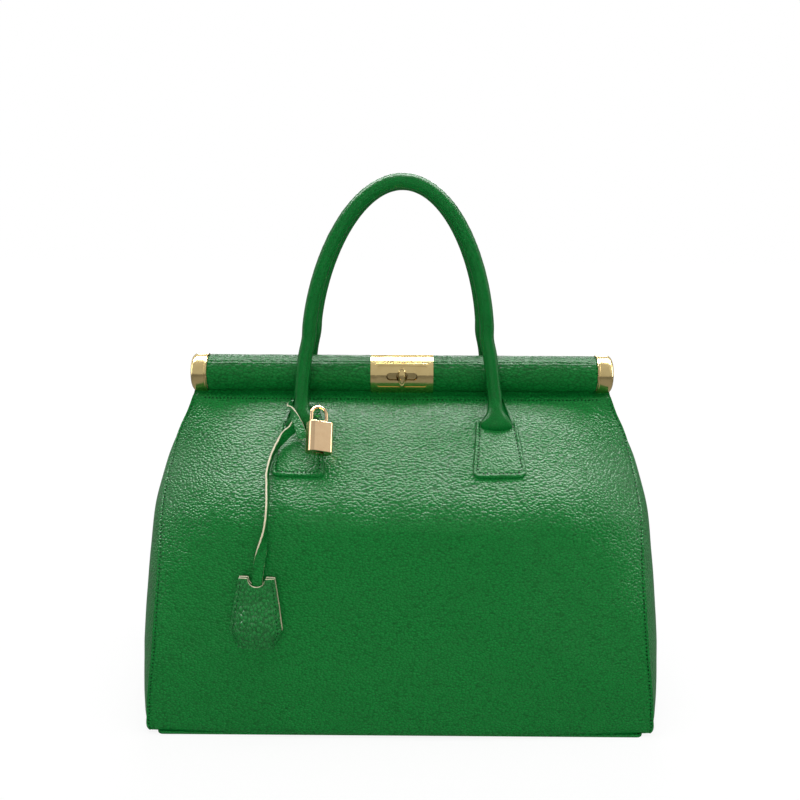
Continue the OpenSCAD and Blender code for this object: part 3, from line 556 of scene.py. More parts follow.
def cloth(name, light, dark):
    """Twill: crossed threads with slanting ribs over them, and thicker threads here and there."""
    material, tree, shader = new_material(name)
    place = object_place(tree)
    warp = bands(tree, place, "X", Scale=240.0, Distortion=0.6, Detail=1.0)
    weft = bands(tree, place, "Z", Scale=240.0, Distortion=0.6, Detail=1.0)
    ribs = bands(tree, place, "DIAGONAL", Scale=150.0, Distortion=0.4)
    weave = calculate(tree, "MAXIMUM", warp, weft)
    weave = calculate(tree, "ADD", calculate(tree, "MULTIPLY", weave, 0.5),
                      calculate(tree, "MULTIPLY", ribs, 0.5))
    slub = calculate(tree, "MULTIPLY", mottle(tree, place, 60.0, 5.0), 0.35)
    tone = mix_colours(tree, slub, mix_colours(tree, weave, dark, light), dark)
    set_inputs(tree, shader, {"Base Color": tone, "Normal": raised(tree, weave, 0.00018, 0.7),
                              "Roughness": 0.85, "Sheen Weight": 0.25})
    return material


tan_cloth = cloth("tan_twill", (0.52, 0.40, 0.25, 1), (0.30, 0.215, 0.125, 1))
LINING_X, LINING_Y, LINING_LOW_Z, LINING_TOP_Z = 151.2, 82.3, 5.4, 118
LINING_SAG, LINING_SAG_RISE, LINING_CLEARANCE = 3.4, 117, 1.6
# The cloth lies flat where the zipped pocket is sewn on
ZIP_FLAT_X, ZIP_FLAT_Z = 112, 82
bm = bmesh.new()
bmesh.ops.create_cube(bm, size=1)
bmesh.ops.delete(bm, geom=[f for f in bm.faces if f.normal.z > 0.5], context="FACES")
bmesh.ops.subdivide_edges(bm, edges=bm.edges, cuts=23, use_grid_fill=True)
for v in bm.verts:
    p = Vector((v.co.x * 2 * LINING_X, v.co.y * 2 * LINING_Y,
                LINING_LOW_Z + (v.co.z + 0.5) * (LINING_TOP_Z - LINING_LOW_Z)))
    pull = LINING_SAG * abs(uneven(p.x / 38, p.y / 38, p.z / 34)) + 0.2
    pull *= 0.35 + 0.65 * math.sin(math.pi * min((p.z - LINING_LOW_Z) / LINING_SAG_RISE, 1))
    if p.y < 0 and abs(p.x) < ZIP_FLAT_X and p.z > ZIP_FLAT_Z:
        pull = 0
    if abs(v.co.x) > 0.499:
        p.x -= math.copysign(pull, p.x)
    if abs(v.co.y) > 0.499:
        p.y -= math.copysign(pull, p.y)
    room = skin_y(p.x, p.z) - LEATHER_T - LINING_CLEARANCE
    p.y = math.copysign(min(abs(p.y), room), p.y)
    v.co = p
face_away(bm, (0, 0, 60))
lining = thicken(make_piece("lining_bag", bm, tan_cloth, 60), CLOTH_T, edge=0.2)
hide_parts("lining")
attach(lining, "body")

# Shares of the leather's profile and of its width that the facings cover
FACING_LOW_SHARE, FACING_HIGH_SHARE, FACING_WIDTH_SHARE = 0.70, 0.955, 0.955


def facing_point(a, b):
    z, middle = profile_at(FACING_LOW_SHARE + (FACING_HIGH_SHARE - FACING_LOW_SHARE) * b)
    return skin_point(across(a) * FACING_WIDTH_SHARE, z, middle, -LEATHER_T - CLOTH_T,
                      seam=False)


for way, half, body in HALVES:
    bm = loft(60, 60, facing_point)
    face_away(bm, BAG_MIDDLE)
    facing = thicken(make_piece(half + "_facing", for_half(bm, way), tan_cloth),
                     CLOTH_T, edge=0.2)
    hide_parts(half + "_slope_lining")
    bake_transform(facing)

tan_thread, tan_tree, tan_shader = new_material("tan_thread")
tan_twist = bands(tan_tree, object_place(tan_tree), "X", Scale=900.0, Distortion=2.0)
set_inputs(tan_tree, tan_shader, {
    "Base Color": mix_colours(tan_tree, tan_twist, (0.22, 0.15, 0.08, 1), (0.46, 0.35, 0.21, 1)),
    "Roughness": 0.7})

POCKET_HALF, POCKET_LOW_Z, POCKET_TOP_Z, POCKET_Y, POCKET_T = 100, 40, 108, 79.3, 0.7
POCKET_GAPE, HEM_HEIGHT, HEM_DROP, HEM_WIDTH = 3.0, 0.35, 3, 2.6
POCKET_SEAM_SHARES, POCKET_FOOT_SHARE, HEM_SHARE = (0.012, 0.988), 0.02, 0.93
POCKET_STITCH, POCKET_STITCH_PITCH, POCKET_STITCH_LIFT = (1.1, 0.25, 0.25), 3.2, 0.12


def pocket_point(a, b, lift=0.0):
    """A point of the open pocket, whose mouth gapes and whose hem is folded thicker."""
    x = POCKET_HALF * (2 * a - 1)
    z = POCKET_LOW_Z + (POCKET_TOP_Z - POCKET_LOW_Z) * b
    gape = POCKET_GAPE * b ** 3 * math.sin(math.pi * a) + 0.35 * uneven(x / 20, z / 20, 2)
    hem = HEM_HEIGHT * hump(z - POCKET_TOP_Z + HEM_DROP, HEM_WIDTH)
    return Vector((x, POCKET_Y - gape - hem - lift, z))


def facing_front(_):
    return Vector((0, -1, 0))


bm = loft(30, 50, pocket_point)
face_away(bm, (0, 200, 74))
pocket = thicken(make_piece("open_pocket", bm, tan_cloth), POCKET_T, edge=0.15)
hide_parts("slip_pocket")
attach(pocket, "body")
bm = bmesh.new()
left_share, right_share = POCKET_SEAM_SHARES
pocket_seam = [(left_share, b) for b in evenly(1, 0, 60)]
pocket_seam += [(a, POCKET_FOOT_SHARE) for a in evenly(left_share, right_share, 120)]
pocket_seam += [(right_share, b) for b in evenly(0, 1, 60)]
hem_seam = [(a, HEM_SHARE) for a in evenly(left_share, right_share, 120)]
for seam in (pocket_seam, hem_seam):
    line = [pocket_point(a, b, POCKET_STITCH_LIFT) for a, b in seam]
    stitch_row(bm, spaced(line, POCKET_STITCH_PITCH), facing_front, POCKET_STITCH)
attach(make_piece("open_pocket_stitches", bm, tan_thread), "body")

# Zipped pocket. A leather welt frames the zip's cloth tape, with two rows of pressed brass teeth
# that mesh on the middle line, and a slider with a pull.
GOLD = (0.86, 0.67, 0.31, 1)


def polished(name, colour, worn, rough=0.16):
    """Plated metal: mirror polish with hair scratches and a faint change of tone."""
    material, tree, shader = new_material(name)
    place = object_place(tree)
    lines = add(tree, "ShaderNodeMapping", {"Vector": place, "Scale": (60, 700, 900)})
    hair = mottle(tree, lines.outputs[0], 3.0, 4.0)
    cloud = mottle(tree, place, 140.0, 3.0)
    set_inputs(tree, shader, {
        "Base Color": mix_colours(tree, remap(tree, cloud, 0.35, 0.75, 0, 0.5), colour, worn),
        "Roughness": remap(tree, hair, 0.3, 0.7, rough - 0.05, rough + 0.08),
        "Normal": raised(tree, hair, 0.00001, 0.25),
        "Metallic": 1.0})
    return material


gold = polished("pale_gold", GOLD, (0.78, 0.58, 0.25, 1))
rose_gold = polished("rose_gold", (0.88, 0.63, 0.37, 1), (0.80, 0.54, 0.30, 1), 0.14)
steel = polished("plated_steel", (0.56, 0.56, 0.57, 1), (0.44, 0.44, 0.45, 1), 0.26)

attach(bevelled_copy("zip_welt", "zip_pocket_welt", fine_leather), "body")
ZIP_HALF, ZIP_Z, ZIP_Y, TAPE_HALF, TAPE_T = 89.7, 104, -80.9, 7.7, 0.7
TOOTH_PITCH, TOOTH_SIZE, TOOTH_OUT, TOOTH_OFFSET = 1.6, (0.85, 1.1, 2.3), 1.25, 0.75
bm = loft(12, 60, lambda a, b: Vector((
    ZIP_HALF * (2 * a - 1), ZIP_Y + 0.5 - 0.25 * math.cos(2 * math.pi * b),
    ZIP_Z + TAPE_HALF * (2 * b - 1))))
face_away(bm, (0, -200, ZIP_Z))
tape = thicken(make_piece("zip_cloth_tape", bm, tan_cloth), TAPE_T, edge=0.1)
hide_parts("zip_tape")
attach(tape, "body")
bm = bmesh.new()
for k in range(math.ceil(2 * ZIP_HALF / TOOTH_PITCH)):
    for row in (-1, 1):
        x = -ZIP_HALF + 1.2 + TOOTH_PITCH * k + (TOOTH_PITCH / 2 if row > 0 else 0)
        if x < ZIP_HALF - TOOTH_PITCH / 2:
            tooth = Matrix.Translation((x, ZIP_Y + TOOTH_OUT, ZIP_Z + row * TOOTH_OFFSET))
            bmesh.ops.create_cube(bm, size=1, matrix=tooth @ Matrix.Diagonal((*TOOTH_SIZE, 1)))
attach(make_piece("zip_teeth", bm, gold, 30), "body")
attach(bevelled_copy("zip_slider", "zip_pocket_slider", gold, 0.3, 3),
        "slider_part")

# Frame. Two bent steel strips carry the bar's halves. Their legs turn on pins that pass through
# washers and the leather tongues at both ends.
for node, name, body in (("front_frame_strip", "front_steel_strip", "front_frame"),
                         ("rear_frame_strip", "rear_steel_strip", "rear_frame"),
                         ("hinge_pins", "steel_hinge_pins", "body"),
                         ("hinge_washers", "steel_washers", "body")):
    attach(bevelled_copy(node, name, steel, 0.2), body)

# Bar. Turned beech halves are wrapped in leather that is drawn tight lengthwise, so that it
# creases along the bar, with one standing wrinkle above the front. Gilt caps close both ends.
BAR_Z, BAR_R = 237, 13.5
COVER_HALF, COVER_STEP = 139.3, 0.25
# Half the gap between the two halves, and half the lock's width
PARTING, LOCK_HALF = 0.15, 13
# Where the wrinkle stands, in radians above the bar's front, its height and its width
WRINKLE_ANGLE, WRINKLE_HEIGHT, WRINKLE_WIDTH = math.radians(41), 0.42, 0.035

wood, wood_tree, wood_shader = new_material("turned_beech")
grain_way = add(wood_tree, "ShaderNodeMapping",
                {"Vector": object_place(wood_tree), "Scale": (6, 90, 90)}).outputs[0]
set_inputs(wood_tree, wood_shader, {
    "Base Color": mix_colours(wood_tree, mottle(wood_tree, grain_way, 4.0, 6.0),
                              (0.36, 0.22, 0.10, 1), (0.66, 0.47, 0.27, 1)),
    "Roughness": 0.6})
refinish("front_bar_core", wood)
refinish("rear_bar_core", wood)

bar_leather = grain_leather("green_bar_leather", cell=1.9, relief=0.00026, gloss=0.40,
                            stretch=(0.6, 1, 1), shine=0.11, tone=0.78)


def bar_relief(x, angle):
    """Lengthwise creases, and a wrinkle that stands up above the front."""
    crease = -0.20 * max(0, 0.16 - abs(uneven(x / 22, angle * 2.6 + x / 70, 1.7))) / 0.16
    from_ridge = angle - WRINKLE_ANGLE + 0.03 * uneven(x / 9, 0, 6)
    strength = 0.55 + 0.45 * uneven(x / 7, 4, 0)
    wrinkle = WRINKLE_HEIGHT * strength * hump(from_ridge, WRINKLE_WIDTH)
    wrinkle -= 0.30 * hump(from_ridge - 0.085, WRINKLE_WIDTH)
    return crease + wrinkle


def cover_mesh(way):
    def place(a, b):
        x = COVER_HALF * (2 * b - 1)
        low = math.asin(PARTING / BAR_R)
        turn = math.pi / 2 - low - (math.pi - 2 * low) * a
        # The rear half has its own creases
        r = BAR_R - COVER_STEP + bar_relief(x + (400 if way > 0 else 0), turn)
        r -= 0.5 * hump(COVER_HALF - abs(x), 0.8)
        return Vector((x, -r * math.cos(turn), BAR_Z + r * math.sin(turn)))

    bm = loft(430, 84, place)
    face_away(bm, (0, 0, BAR_Z))
    if way < 0:
        opening = [f for f in bm.faces if abs(f.calc_center_median().x) < LOCK_HALF]
        bmesh.ops.delete(bm, geom=opening, context="FACES")
    return for_half(bm, way)


for way, half, body in HALVES:
    cover = thicken(make_piece(half + "_bar_leather", cover_mesh(way), bar_leather), LEATHER_T, edge=0.2)
    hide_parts(half + "_bar_cover")
    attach(cover, body)

CAP_R, CAP_RIM_X, CAP_END_X, CAP_ROUND, CAP_WALL, CAP_FLAT_R = 13.9, 139.5, 151, 4.0, 0.8, 6.0
# The cap's rolled rim: how far each point is out from the cap's radius, and along from its rim
CAP_RIM = ((-0.75, 0.2), (-0.15, 0), (0.10, 0.35), (0.18, 0.8), (0.10, 1.25), (-0.20, 1.55),
           (-0.05, 1.9))
# Close enough to the middle line to be merged there
ON_AXIS = 0.01


def cap_corner(radius, degrees):
    """Points round the corner of the cap's end: distance from the middle line, and along it."""
    return [(CAP_R - CAP_ROUND + radius * math.cos(math.radians(t)),
             CAP_END_X - CAP_ROUND + radius * math.sin(math.radians(t))) for t in degrees]


cap_line = [(CAP_R + out, CAP_RIM_X + along) for out, along in CAP_RIM]
cap_line += cap_corner(CAP_ROUND, range(0, 91, 9))
cap_line += [(CAP_FLAT_R, CAP_END_X), (ON_AXIS, CAP_END_X), (ON_AXIS, CAP_END_X - CAP_WALL),
             (CAP_R - CAP_ROUND, CAP_END_X - CAP_WALL)]
cap_line += cap_corner(CAP_ROUND - CAP_WALL, range(75, -1, -15))
for side, end in SIDES:
    for way, half, body in HALVES:
        bm = bmesh.new()
        ring = [bm.verts.new((x, 0, r)) for r, x in cap_line]
        for p, q in zip(ring, ring[1:] + ring[:1]):
            bm.edges.new((p, q))
        first = bm.edges[:]
        bm.faces.new(ring)
        low = math.asin(PARTING / CAP_R)
        swept = bmesh.ops.spin(bm, geom=first + ring, cent=(0, 0, 0), axis=(1, 0, 0),
                               angle=math.pi - 2 * low, steps=48, use_duplicate=False)
        bmesh.ops.contextual_create(bm, geom=of_kind(swept["geom_last"], bmesh.types.BMEdge))
        bmesh.ops.rotate(bm, cent=(0, 0, 0), matrix=Matrix.Rotation(low, 3, "X"),
                         verts=bm.verts)
        if sum(v.co.y for v in bm.verts) * way < 0:
            bmesh.ops.scale(bm, vec=(1, -1, 1), verts=bm.verts)
        bmesh.ops.scale(bm, vec=(side, 1, 1), verts=bm.verts)
        bmesh.ops.remove_doubles(bm, verts=bm.verts, dist=0.004)
        bmesh.ops.recalc_face_normals(bm, faces=bm.faces)
        bmesh.ops.translate(bm, vec=(0, 0, BAR_Z), verts=bm.verts)
        cap = make_piece(f"{half}_{end}_gilt_cap", bm, gold, 50)
        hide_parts(f"{half}_{end}_cap")
        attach(cap, body)

# Turn lock. A curved gilt plate with a raised border and a slot sits on the front half of the
# bar. The button stands on a block that is screwed to the rear half, and turns to hold it shut.
for node, name, body, edge in (
        ("lock_plate", "front_lock_plate", "front_frame", 0.22),
        ("rear_lock_plate", "rear_lock_cover", "rear_frame", 0.22),
        ("lock_base", "lock_block", "rear_frame", 0.25)):
    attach(bevelled_copy(node, name, gold, edge, 3, 28), body)
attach(bevelled_copy("lock_screws", "lock_block_screws", steel, 0.15), "rear_frame")
BUTTON_W, BUTTON_H, BUTTON_BACK, BUTTON_RIM = 5.4, 14.2, 14.9, 0.9
SHAFT_R, SHAFT_LENGTH, SHAFT_MIDDLE = 2.1, 9, -4
# The button's face, from its rim inwards: each step in, as a share of its half width, and up
BUTTON_STEPS = ((0.16, 0.55), (0.10, -0.12), (0.14, 0.42), (0.2, 0.34), (0.2, 0.2))
# Below 1, this makes the button's ends fuller than an ellipse's
BUTTON_FULLNESS = 0.8
bm = bmesh.new()
bmesh.ops.create_circle(bm, cap_ends=True, segments=64, radius=1)
rim = bmesh.ops.extrude_face_region(bm, geom=bm.faces[:])["geom"]
bmesh.ops.translate(bm, vec=(0, 0, BUTTON_RIM), verts=of_kind(rim, bmesh.types.BMVert))
top = of_kind(rim, bmesh.types.BMFace)
for share, rise in BUTTON_STEPS:
    bmesh.ops.inset_region(bm, faces=top, thickness=share, depth=0)
    bmesh.ops.translate(bm, vec=(0, 0, rise), verts=list({v for f in top for v in f.verts}))
bmesh.ops.recalc_face_normals(bm, faces=bm.faces)
for v in bm.verts:
    v.co.x = math.copysign(abs(v.co.x) ** BUTTON_FULLNESS, v.co.x)
bmesh.ops.scale(bm, vec=(BUTTON_W / 2, BUTTON_H / 2, 1), verts=bm.verts)
bmesh.ops.create_cone(bm, cap_ends=True, segments=40, radius1=SHAFT_R, radius2=SHAFT_R,
                      depth=SHAFT_LENGTH, matrix=Matrix.Translation((0, 0, SHAFT_MIDDLE)))
on_bar = Matrix(((1, 0, 0, 0), (0, 0, -1, -BUTTON_BACK), (0, 1, 0, BAR_Z), (0, 0, 0, 1)))
bmesh.ops.transform(bm, matrix=on_bar, verts=bm.verts)
button = make_piece("lock_turn_button", bm, gold, 30)
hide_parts("turn_button")
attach(button, "turn_knob")

# Handle tabs. Crowned pads of leather over felt, with a rolled edge and one row of stitches
# inside it, sewn to the slopes under the handles.
TAB_LOW_Z, TAB_TOP_Z, TAB_CORNER, TAB_T = 177, 207, 5, 2.3
# Half the tab's width at its foot, how much narrower it is at its top, and the slope's length
# for each millimetre of height
TAB_HALF, TAB_TAPER, SLOPE_STRETCH = 18.8, 4.5, 1.42
TAB_SINK, TAB_EDGE_RUN, TAB_CROWN = 0.3, 1.2, 0.35
LEG_X, TAB_SHIFT = 68, 1.8
SLOPE_OUT = Vector((0, -0.70, 0.71))
# The stitches: their row's height as a share, how far it is from the sides, how much its corners
# are cut, and the shares of its length where the foot's row starts and ends
SEW_LOW_SHARE, SEW_INSET, SEW_CORNER, SEW_TURN_SHARES = 0.072, 3.1, 3.0, (0.36, 0.64)


def tab_half(b):
    return TAB_HALF - TAB_TAPER * b


def tab_z(b):
    return TAB_LOW_Z + (TAB_TOP_Z - TAB_LOW_Z) * b


def tab_point(side, a, b, lift=0.0):
    along = (TAB_TOP_Z - TAB_LOW_Z) * SLOPE_STRETCH * b
    z = tab_z(b)
    half = tab_half(b)
    if along < TAB_CORNER:
        half -= TAB_CORNER * (1 - math.sqrt(max(0, 1 - (1 - along / TAB_CORNER) ** 2)))
    u = across(a)
    x = side * LEG_X - TAB_SHIFT + half * u
    from_side = half * (1 - abs(u))
    inside = min(from_side, along)
    if from_side < TAB_CORNER and along < TAB_CORNER:
        inside = min(inside, TAB_CORNER - math.hypot(TAB_CORNER - from_side,
                                                     TAB_CORNER - along) * 0.8)
    inside = max(inside, 0)
    rise = TAB_T * math.sqrt(
        min(1, inside / TAB_EDGE_RUN * (2 - min(inside, TAB_EDGE_RUN) / TAB_EDGE_RUN)))
    rise += 0.30 * hump(inside - 1.5, 0.8)
    rise -= 0.45 * hump(inside - 3.0, 0.55)
    rise += TAB_CROWN * ease((inside - 4) / 9)
    return Vector((x, -skin_y(x, z), z)) + SLOPE_OUT * (rise + lift - TAB_SINK)


def tab_sewing(side):
    """The tab's stitches run down its left side, along its foot and up its right side."""
    start, finish = SEW_TURN_SHARES
    points = []
    for t in evenly(0, 1, 240):
        if start <= t <= finish:
            at = (t - start) / (finish - start)
            points.append(tab_point(side, 0.26 + 0.48 * at, SEW_LOW_SHARE, 0.05))
            continue
        up = 1 - t / start if t < start else (t - finish) / (1 - finish)
        b = SEW_LOW_SHARE + 0.90 * up
        half = tab_half(b) - SEW_INSET
        half -= SEW_CORNER * max(0, 1 - (b - SEW_LOW_SHARE) / 0.10) ** 2
        x = side * LEG_X - TAB_SHIFT + (-half if t < start else half)
        points.append(Vector((x, -skin_y(x, tab_z(b)), tab_z(b)))
                      + SLOPE_OUT * (TAB_T - 0.62))
    return spaced(points, STITCH_PITCH)


def gathered(parts):
    """One mesh that holds all the given ones."""
    whole = bmesh.new()
    for part in parts:
        mesh = bpy.data.meshes.new("part")
        part.to_mesh(mesh)
        part.free()
        whole.from_mesh(mesh)
        bpy.data.meshes.remove(mesh)
    return whole


for way, half, body in HALVES:
    pads, sewing = [], bmesh.new()
    for side, _ in SIDES:
        pads.append(loft(70, 64, lambda a, b: tab_point(side, a, b ** 1.35)))
        face_away(pads[-1], (side * LEG_X, 0, 150))
        stitch_row(sewing, tab_sewing(side), lambda _: SLOPE_OUT, (0.68, 0.60, 0.46))
    tabs = thicken(make_piece(half + "_tabs", for_half(gathered(pads), way), fine_leather), 0.9, edge=0.15)
    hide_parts(half + "_handle_tabs")
    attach(tabs, body)
    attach(make_piece(half + "_tab_stitches", for_half(sewing, way), thread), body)

# Handles. Each is one strip of leather rolled round a cord and sewn on its inner side. At each
# foot it opens into a padded bell that covers the top of its tab. The arch creases crosswise.
HANDLE_R, HANDLE_LEAN, HANDLE_STEP = 5.0, 3.0, 1.15
HANDLE_FOOT = ((68, -33.4, 203.6), (68, -34.6, 205.8), (68, -33.6, 209.4), (68, -31.2, 213.6),
               (68, -28.8, 218.0), (68, -27.0, 222.3), (68, -26, 226.6), (67.3, -25.2, 233),
               (66.2, -24.3, 243), (64.7, -23.0, 254))
ARCH_HALF, ARCH_LOW_Z, ARCH_RISE, ARCH_POWER, ARCH_STEPS = 61.9, 265, 107, 1.2, 22
# Distance from the foot, and half the handle's width and depth there
FOOT_SHAPE = [(0, 6.8, 1.2), (1.2, 9.9, 2.9), (3.0, 11.4, 4.3), (5.5, 11.0, 5.0),
              (8.5, 8.8, 5.2), (12, 6.8, 5.15), (16, 5.6, 5.05), (21, 5.1, 5.0),
              (27, HANDLE_R, HANDLE_R), (999, HANDLE_R, HANDLE_R)]
# The seam's ridges and grooves: height, place in degrees from the handle's front, and width
HANDLE_SEAM = ((0.26, 27, 7), (-0.24, 43, 6), (0.34, 62, 7), (-0.30, 80, 8))
SEAM_START = 22


def smooth_line(points, step):
    """An even line of points on a smooth curve through the given ones."""
    dense = []
    for i in range(len(points) - 1):
        p0, p1 = points[max(i - 1, 0)], points[i]
        p2, p3 = points[i + 1], points[min(i + 2, len(points) - 1)]
        for k in range(24):
            t = k / 24
            dense.append(0.5 * (2 * p1 + (p2 - p0) * t + (2 * p0 - 5 * p1 + 4 * p2 - p3) * t * t
                                + (3 * p1 - p0 - 3 * p2 + p3) * t ** 3))
    dense.append(points[-1].copy())
    total = sum((b - a).length for a, b in zip(dense, dense[1:]))
    count = max(2, round(total / step))
    # A hair under the even pitch, so that the last point isn't lost to rounding
    return spaced(dense, total / count * 0.99999)[:count + 1]


def closed_tube(rings, sides, place):
    """A tube with closed ends, from shares of the way round and along."""
    bm = loft(rings, sides, place)
    bmesh.ops.remove_doubles(bm, verts=bm.verts, dist=1e-4)
    bmesh.ops.holes_fill(bm, edges=[e for e in bm.edges if e.is_boundary], sides=0)
    bmesh.ops.recalc_face_normals(bm, faces=bm.faces)
    return bm


def handle_leg(side):
    return [Vector((side * (x - 0.5) - HANDLE_LEAN * (0.6 + 0.4 * ease((z - 205) / 35)), y, z))
            for x, y, z in HANDLE_FOOT]


arch = []
for a in evenly(0, math.pi, ARCH_STEPS):
    rise = math.sin(a) ** ARCH_POWER
    arch.append(Vector((ARCH_HALF * math.cos(a) - HANDLE_LEAN * (1 - 0.9 * rise),
                        -(22 + 5 * rise), ARCH_LOW_Z + ARCH_RISE * rise)))
handle_line = smooth_line(handle_leg(1) + arch + handle_leg(-1)[::-1], HANDLE_STEP)


def handle_mesh():
    count = len(handle_line) - 1
    total = HANDLE_STEP * count

    def place(a, b):
        i = round(b * count)
        p, t = handle_line[i], direction(handle_line, i)
        back = (Vector((0, 1, 0)) - t * t.y).normalized()
        wide = back.cross(t)
        turn = 2 * math.pi * a
        run = min(b, 1 - b) * total
        half_w = between(run, [(s, w) for s, w, _ in FOOT_SHAPE])
        half_d = between(run, [(s, d) for s, _, d in FOOT_SHAPE])
        # Angle from the front of the tube, towards the inner side of the arch
        inwards = math.cos(turn) * (1 if wide.dot(Vector((0, p.y, 290)) - p) > 0 else -1)
        angle = math.degrees(math.atan2(inwards, -math.sin(turn)))
        rise = 0.0
        if run > SEAM_START:
            for height, middle, width in HANDLE_SEAM:
                rise += height * hump(angle - middle, width)
            crease = max(-0.3, uneven(b * total / 2.1, angle / 55, 9))
            rise += ease((p.z - 285) / 50) * 0.20 * crease * (1 if inwards < 0.55 else 0.2)
        else:
            rise += 0.25 * uneven(turn * 1.5, run / 5, 3)
        return (p + wide * (half_w + rise) * math.cos(turn)
                + back * (half_d + rise) * math.sin(turn))

    return closed_tube(count, 40, place)


handle_leather = grain_leather("green_handle_leather", cell=1.3, relief=0.00010, gloss=0.30,
                               shine=0.12, tone=0.80)
for way, half, body in HALVES:
    handle = make_piece(half + "_rolled_handle", for_half(handle_mesh(), way), handle_leather)
    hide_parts(half + "_handle", half + "_handle_core")
    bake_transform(handle)

# Strap loop. A narrow strap is looped round the left foot of the front handle. One end hangs
# as a rounded tail, and the padlock's shackle passes through the other.
STRAP_SIDES = 28
cream, cream_tree, cream_shader = new_material("cream_cut_edge")
fibre = mottle(cream_tree, object_place(cream_tree), 1500.0, 4.0)
set_inputs(cream_tree, cream_shader, {
    "Base Color": mix_colours(cream_tree, fibre, (0.36, 0.33, 0.20, 1), (0.66, 0.61, 0.43, 1)),
    "Normal": raised(cream_tree, fibre, 0.00015),
    "Roughness": 0.75})


def strap_wide(t, share, turns):
    """The way across a strap that runs along t, from its turns in degrees."""
    angle = math.radians(between(share, turns))
    level = Vector((math.cos(angle), math.sin(angle), 0))
    return (level - t * level.dot(t)).normalized()


def flat_strap(route, turns, width, thick, tip=0.0, cream_sides=True):
    """A square-cut strap with softened corners, a rounded tip if asked, and raw cut sides."""
    line = smooth_line([Vector(p) for p in route], 1.0)
    count = len(line) - 1
    total = sum((b - a).length for a, b in zip(line, line[1:]))
    section = []
    for k in range(STRAP_SIDES):
        c, s = (f(2 * math.pi * k / STRAP_SIDES) for f in (math.cos, math.sin))
        section.append((math.copysign(abs(c) ** 0.42, c), math.copysign(abs(s) ** 0.30, s)))

    def place(a, b):
        i = min(round(b * count), count)
        t = direction(line, i)
        wide = strap_wide(t, b, turns)
        c, s = section[round(a * STRAP_SIDES) % STRAP_SIDES]
        left = (1 - b) * total
        half = width / 2
        if tip and left < tip:
            half *= math.sqrt(max(0.02, 1 - (1 - left / tip) ** 2))
        return line[i] + wide * half * c + t.cross(wide) * thick / 2 * s

    bm = closed_tube(count, STRAP_SIDES, place)
    bm.normal_update()
    for f in bm.faces if cream_sides else ():
        centre = f.calc_center_median()
        i = min(range(len(line)), key=lambda k: (line[k] - centre).length_squared)
        t = direction(line, i)
        wide = strap_wide(t, i / count, turns)
        if abs(f.normal.dot(wide)) > 0.75 or abs(f.normal.dot(t)) > 0.75:
            f.material_index = 1
    return bm


tail = flat_strap(
    [(-68, -21.6, 219.6), (-74.2, -24, 219.4), (-77, -30, 218.4), (-75.6, -37, 216.2),
     (-72.6, -43, 212.2), (-69.6, -47.8, 207.8), (-67.4, -51.4, 203.4), (-66.6, -53.2, 200.2)],
    [(0, 10), (0.25, 60), (0.5, 120), (0.75, 160), (1, 172)], 6.6, 1.6, tip=3.4)
eye = flat_strap(
    [(-68, -21.6, 218.0), (-62, -23.0, 217.6), (-59.4, -29.5, 216.6), (-58.6, -36.5, 215.9),
     (-58.0, -42.5, 215.5), (-56.6, -47.8, 215.5)],
    [(0, 10), (0.5, -60), (1, -95)], 5.0, 1.5, tip=2.6, cream_sides=False)
loop = make_piece("strap_loop_leather", gathered([tail, eye]), [fine_leather, cream],
                  60)
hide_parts("strap_loop")
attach(loop, "front_frame")

# Key strap. One narrow strap hangs from the loop, twists edge-on down the slope and turns flat
# again before it enters the bell. Its cut sides show the cream of the undyed leather.
STRAP_ROUTE = [(-72.6, -43.6, 208.6), (-74.5, -45, 206), (-78, -46.8, 203),
               (-81.5, -49.6, 199.2), (-84.9, -53.8, 194.6), (-87.5, -59.5, 189),
               (-88.8, -67.5, 181.5), (-87.8, -75.5, 174), (-86.8, -85, 166.5),
               (-87, -90.6, 156), (-88.6, -90.7, 145), (-90.6, -90.7, 134),
               (-92.6, -90.7, 124), (-93.8, -90.7, 114), (-94.3, -90.7, 104),
               (-94.6, -90.7, 92)]
# The strap's turn at each point of its route, in degrees from lying flat to the front
STRAP_TURNS = [38, 38, 66, 82, 88, 90, 90, 90, 88, 76, 45, 10, 0, 0, 0, 0]
strap_turns = list(zip(evenly(0, 1, len(STRAP_TURNS) - 1), STRAP_TURNS))
strap = make_piece("hanging_key_strap",
                   gathered([flat_strap(STRAP_ROUTE, strap_turns, 7.2, 1.8)]),
                   [fine_leather, cream], 60)
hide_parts("key_strap")
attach(strap, "strap_part")

# Key bell. Two crowned leaves are sewn together at the sides, open at the notch and the foot,
# and slide up the strap to free the keys. Their cut edges are cream.
BELL_W, BELL_H, BELL_X, BELL_LOW_Z, BELL_LEAF = 34.6, 49, -95.6, 68, 1.7
BELL_LEAN, NOTCH_SHARE, NOTCH_LOW_SHARE = math.radians(2), 0.17, 0.4
BELL_FRONT_Y, BELL_FRONT_CROWN, BELL_BACK_Y, BELL_BACK_CROWN = 93.2, 3.0, 89.4, -0.9
BELL_STITCH, BELL_STITCH_PITCH, BELL_SEAM_SHARES = (0.75, 0.34, 0.26), 2.6, (0.075, 0.925)
# Share of the bell's height, and its edges there as shares of its width
BELL_LEFT_SHARES = [(0, -.34), (.05, -.36), (.14, -.44), (.26, -.5), (.62, -.43), (1, -.34)]
BELL_RIGHT_SHARES = [(0, .34), (.05, .365), (.14, .44), (.26, .5), (.62, .43), (1, .34)]


def straight(t, table):
    """Straight lines through the table's points."""
    for (x0, y0), (x1, y1) in zip(table, table[1:]):
        if t <= x1:
            return y0 + (y1 - y0) * (t - x0) / (x1 - x0)
    return table[-1][1]


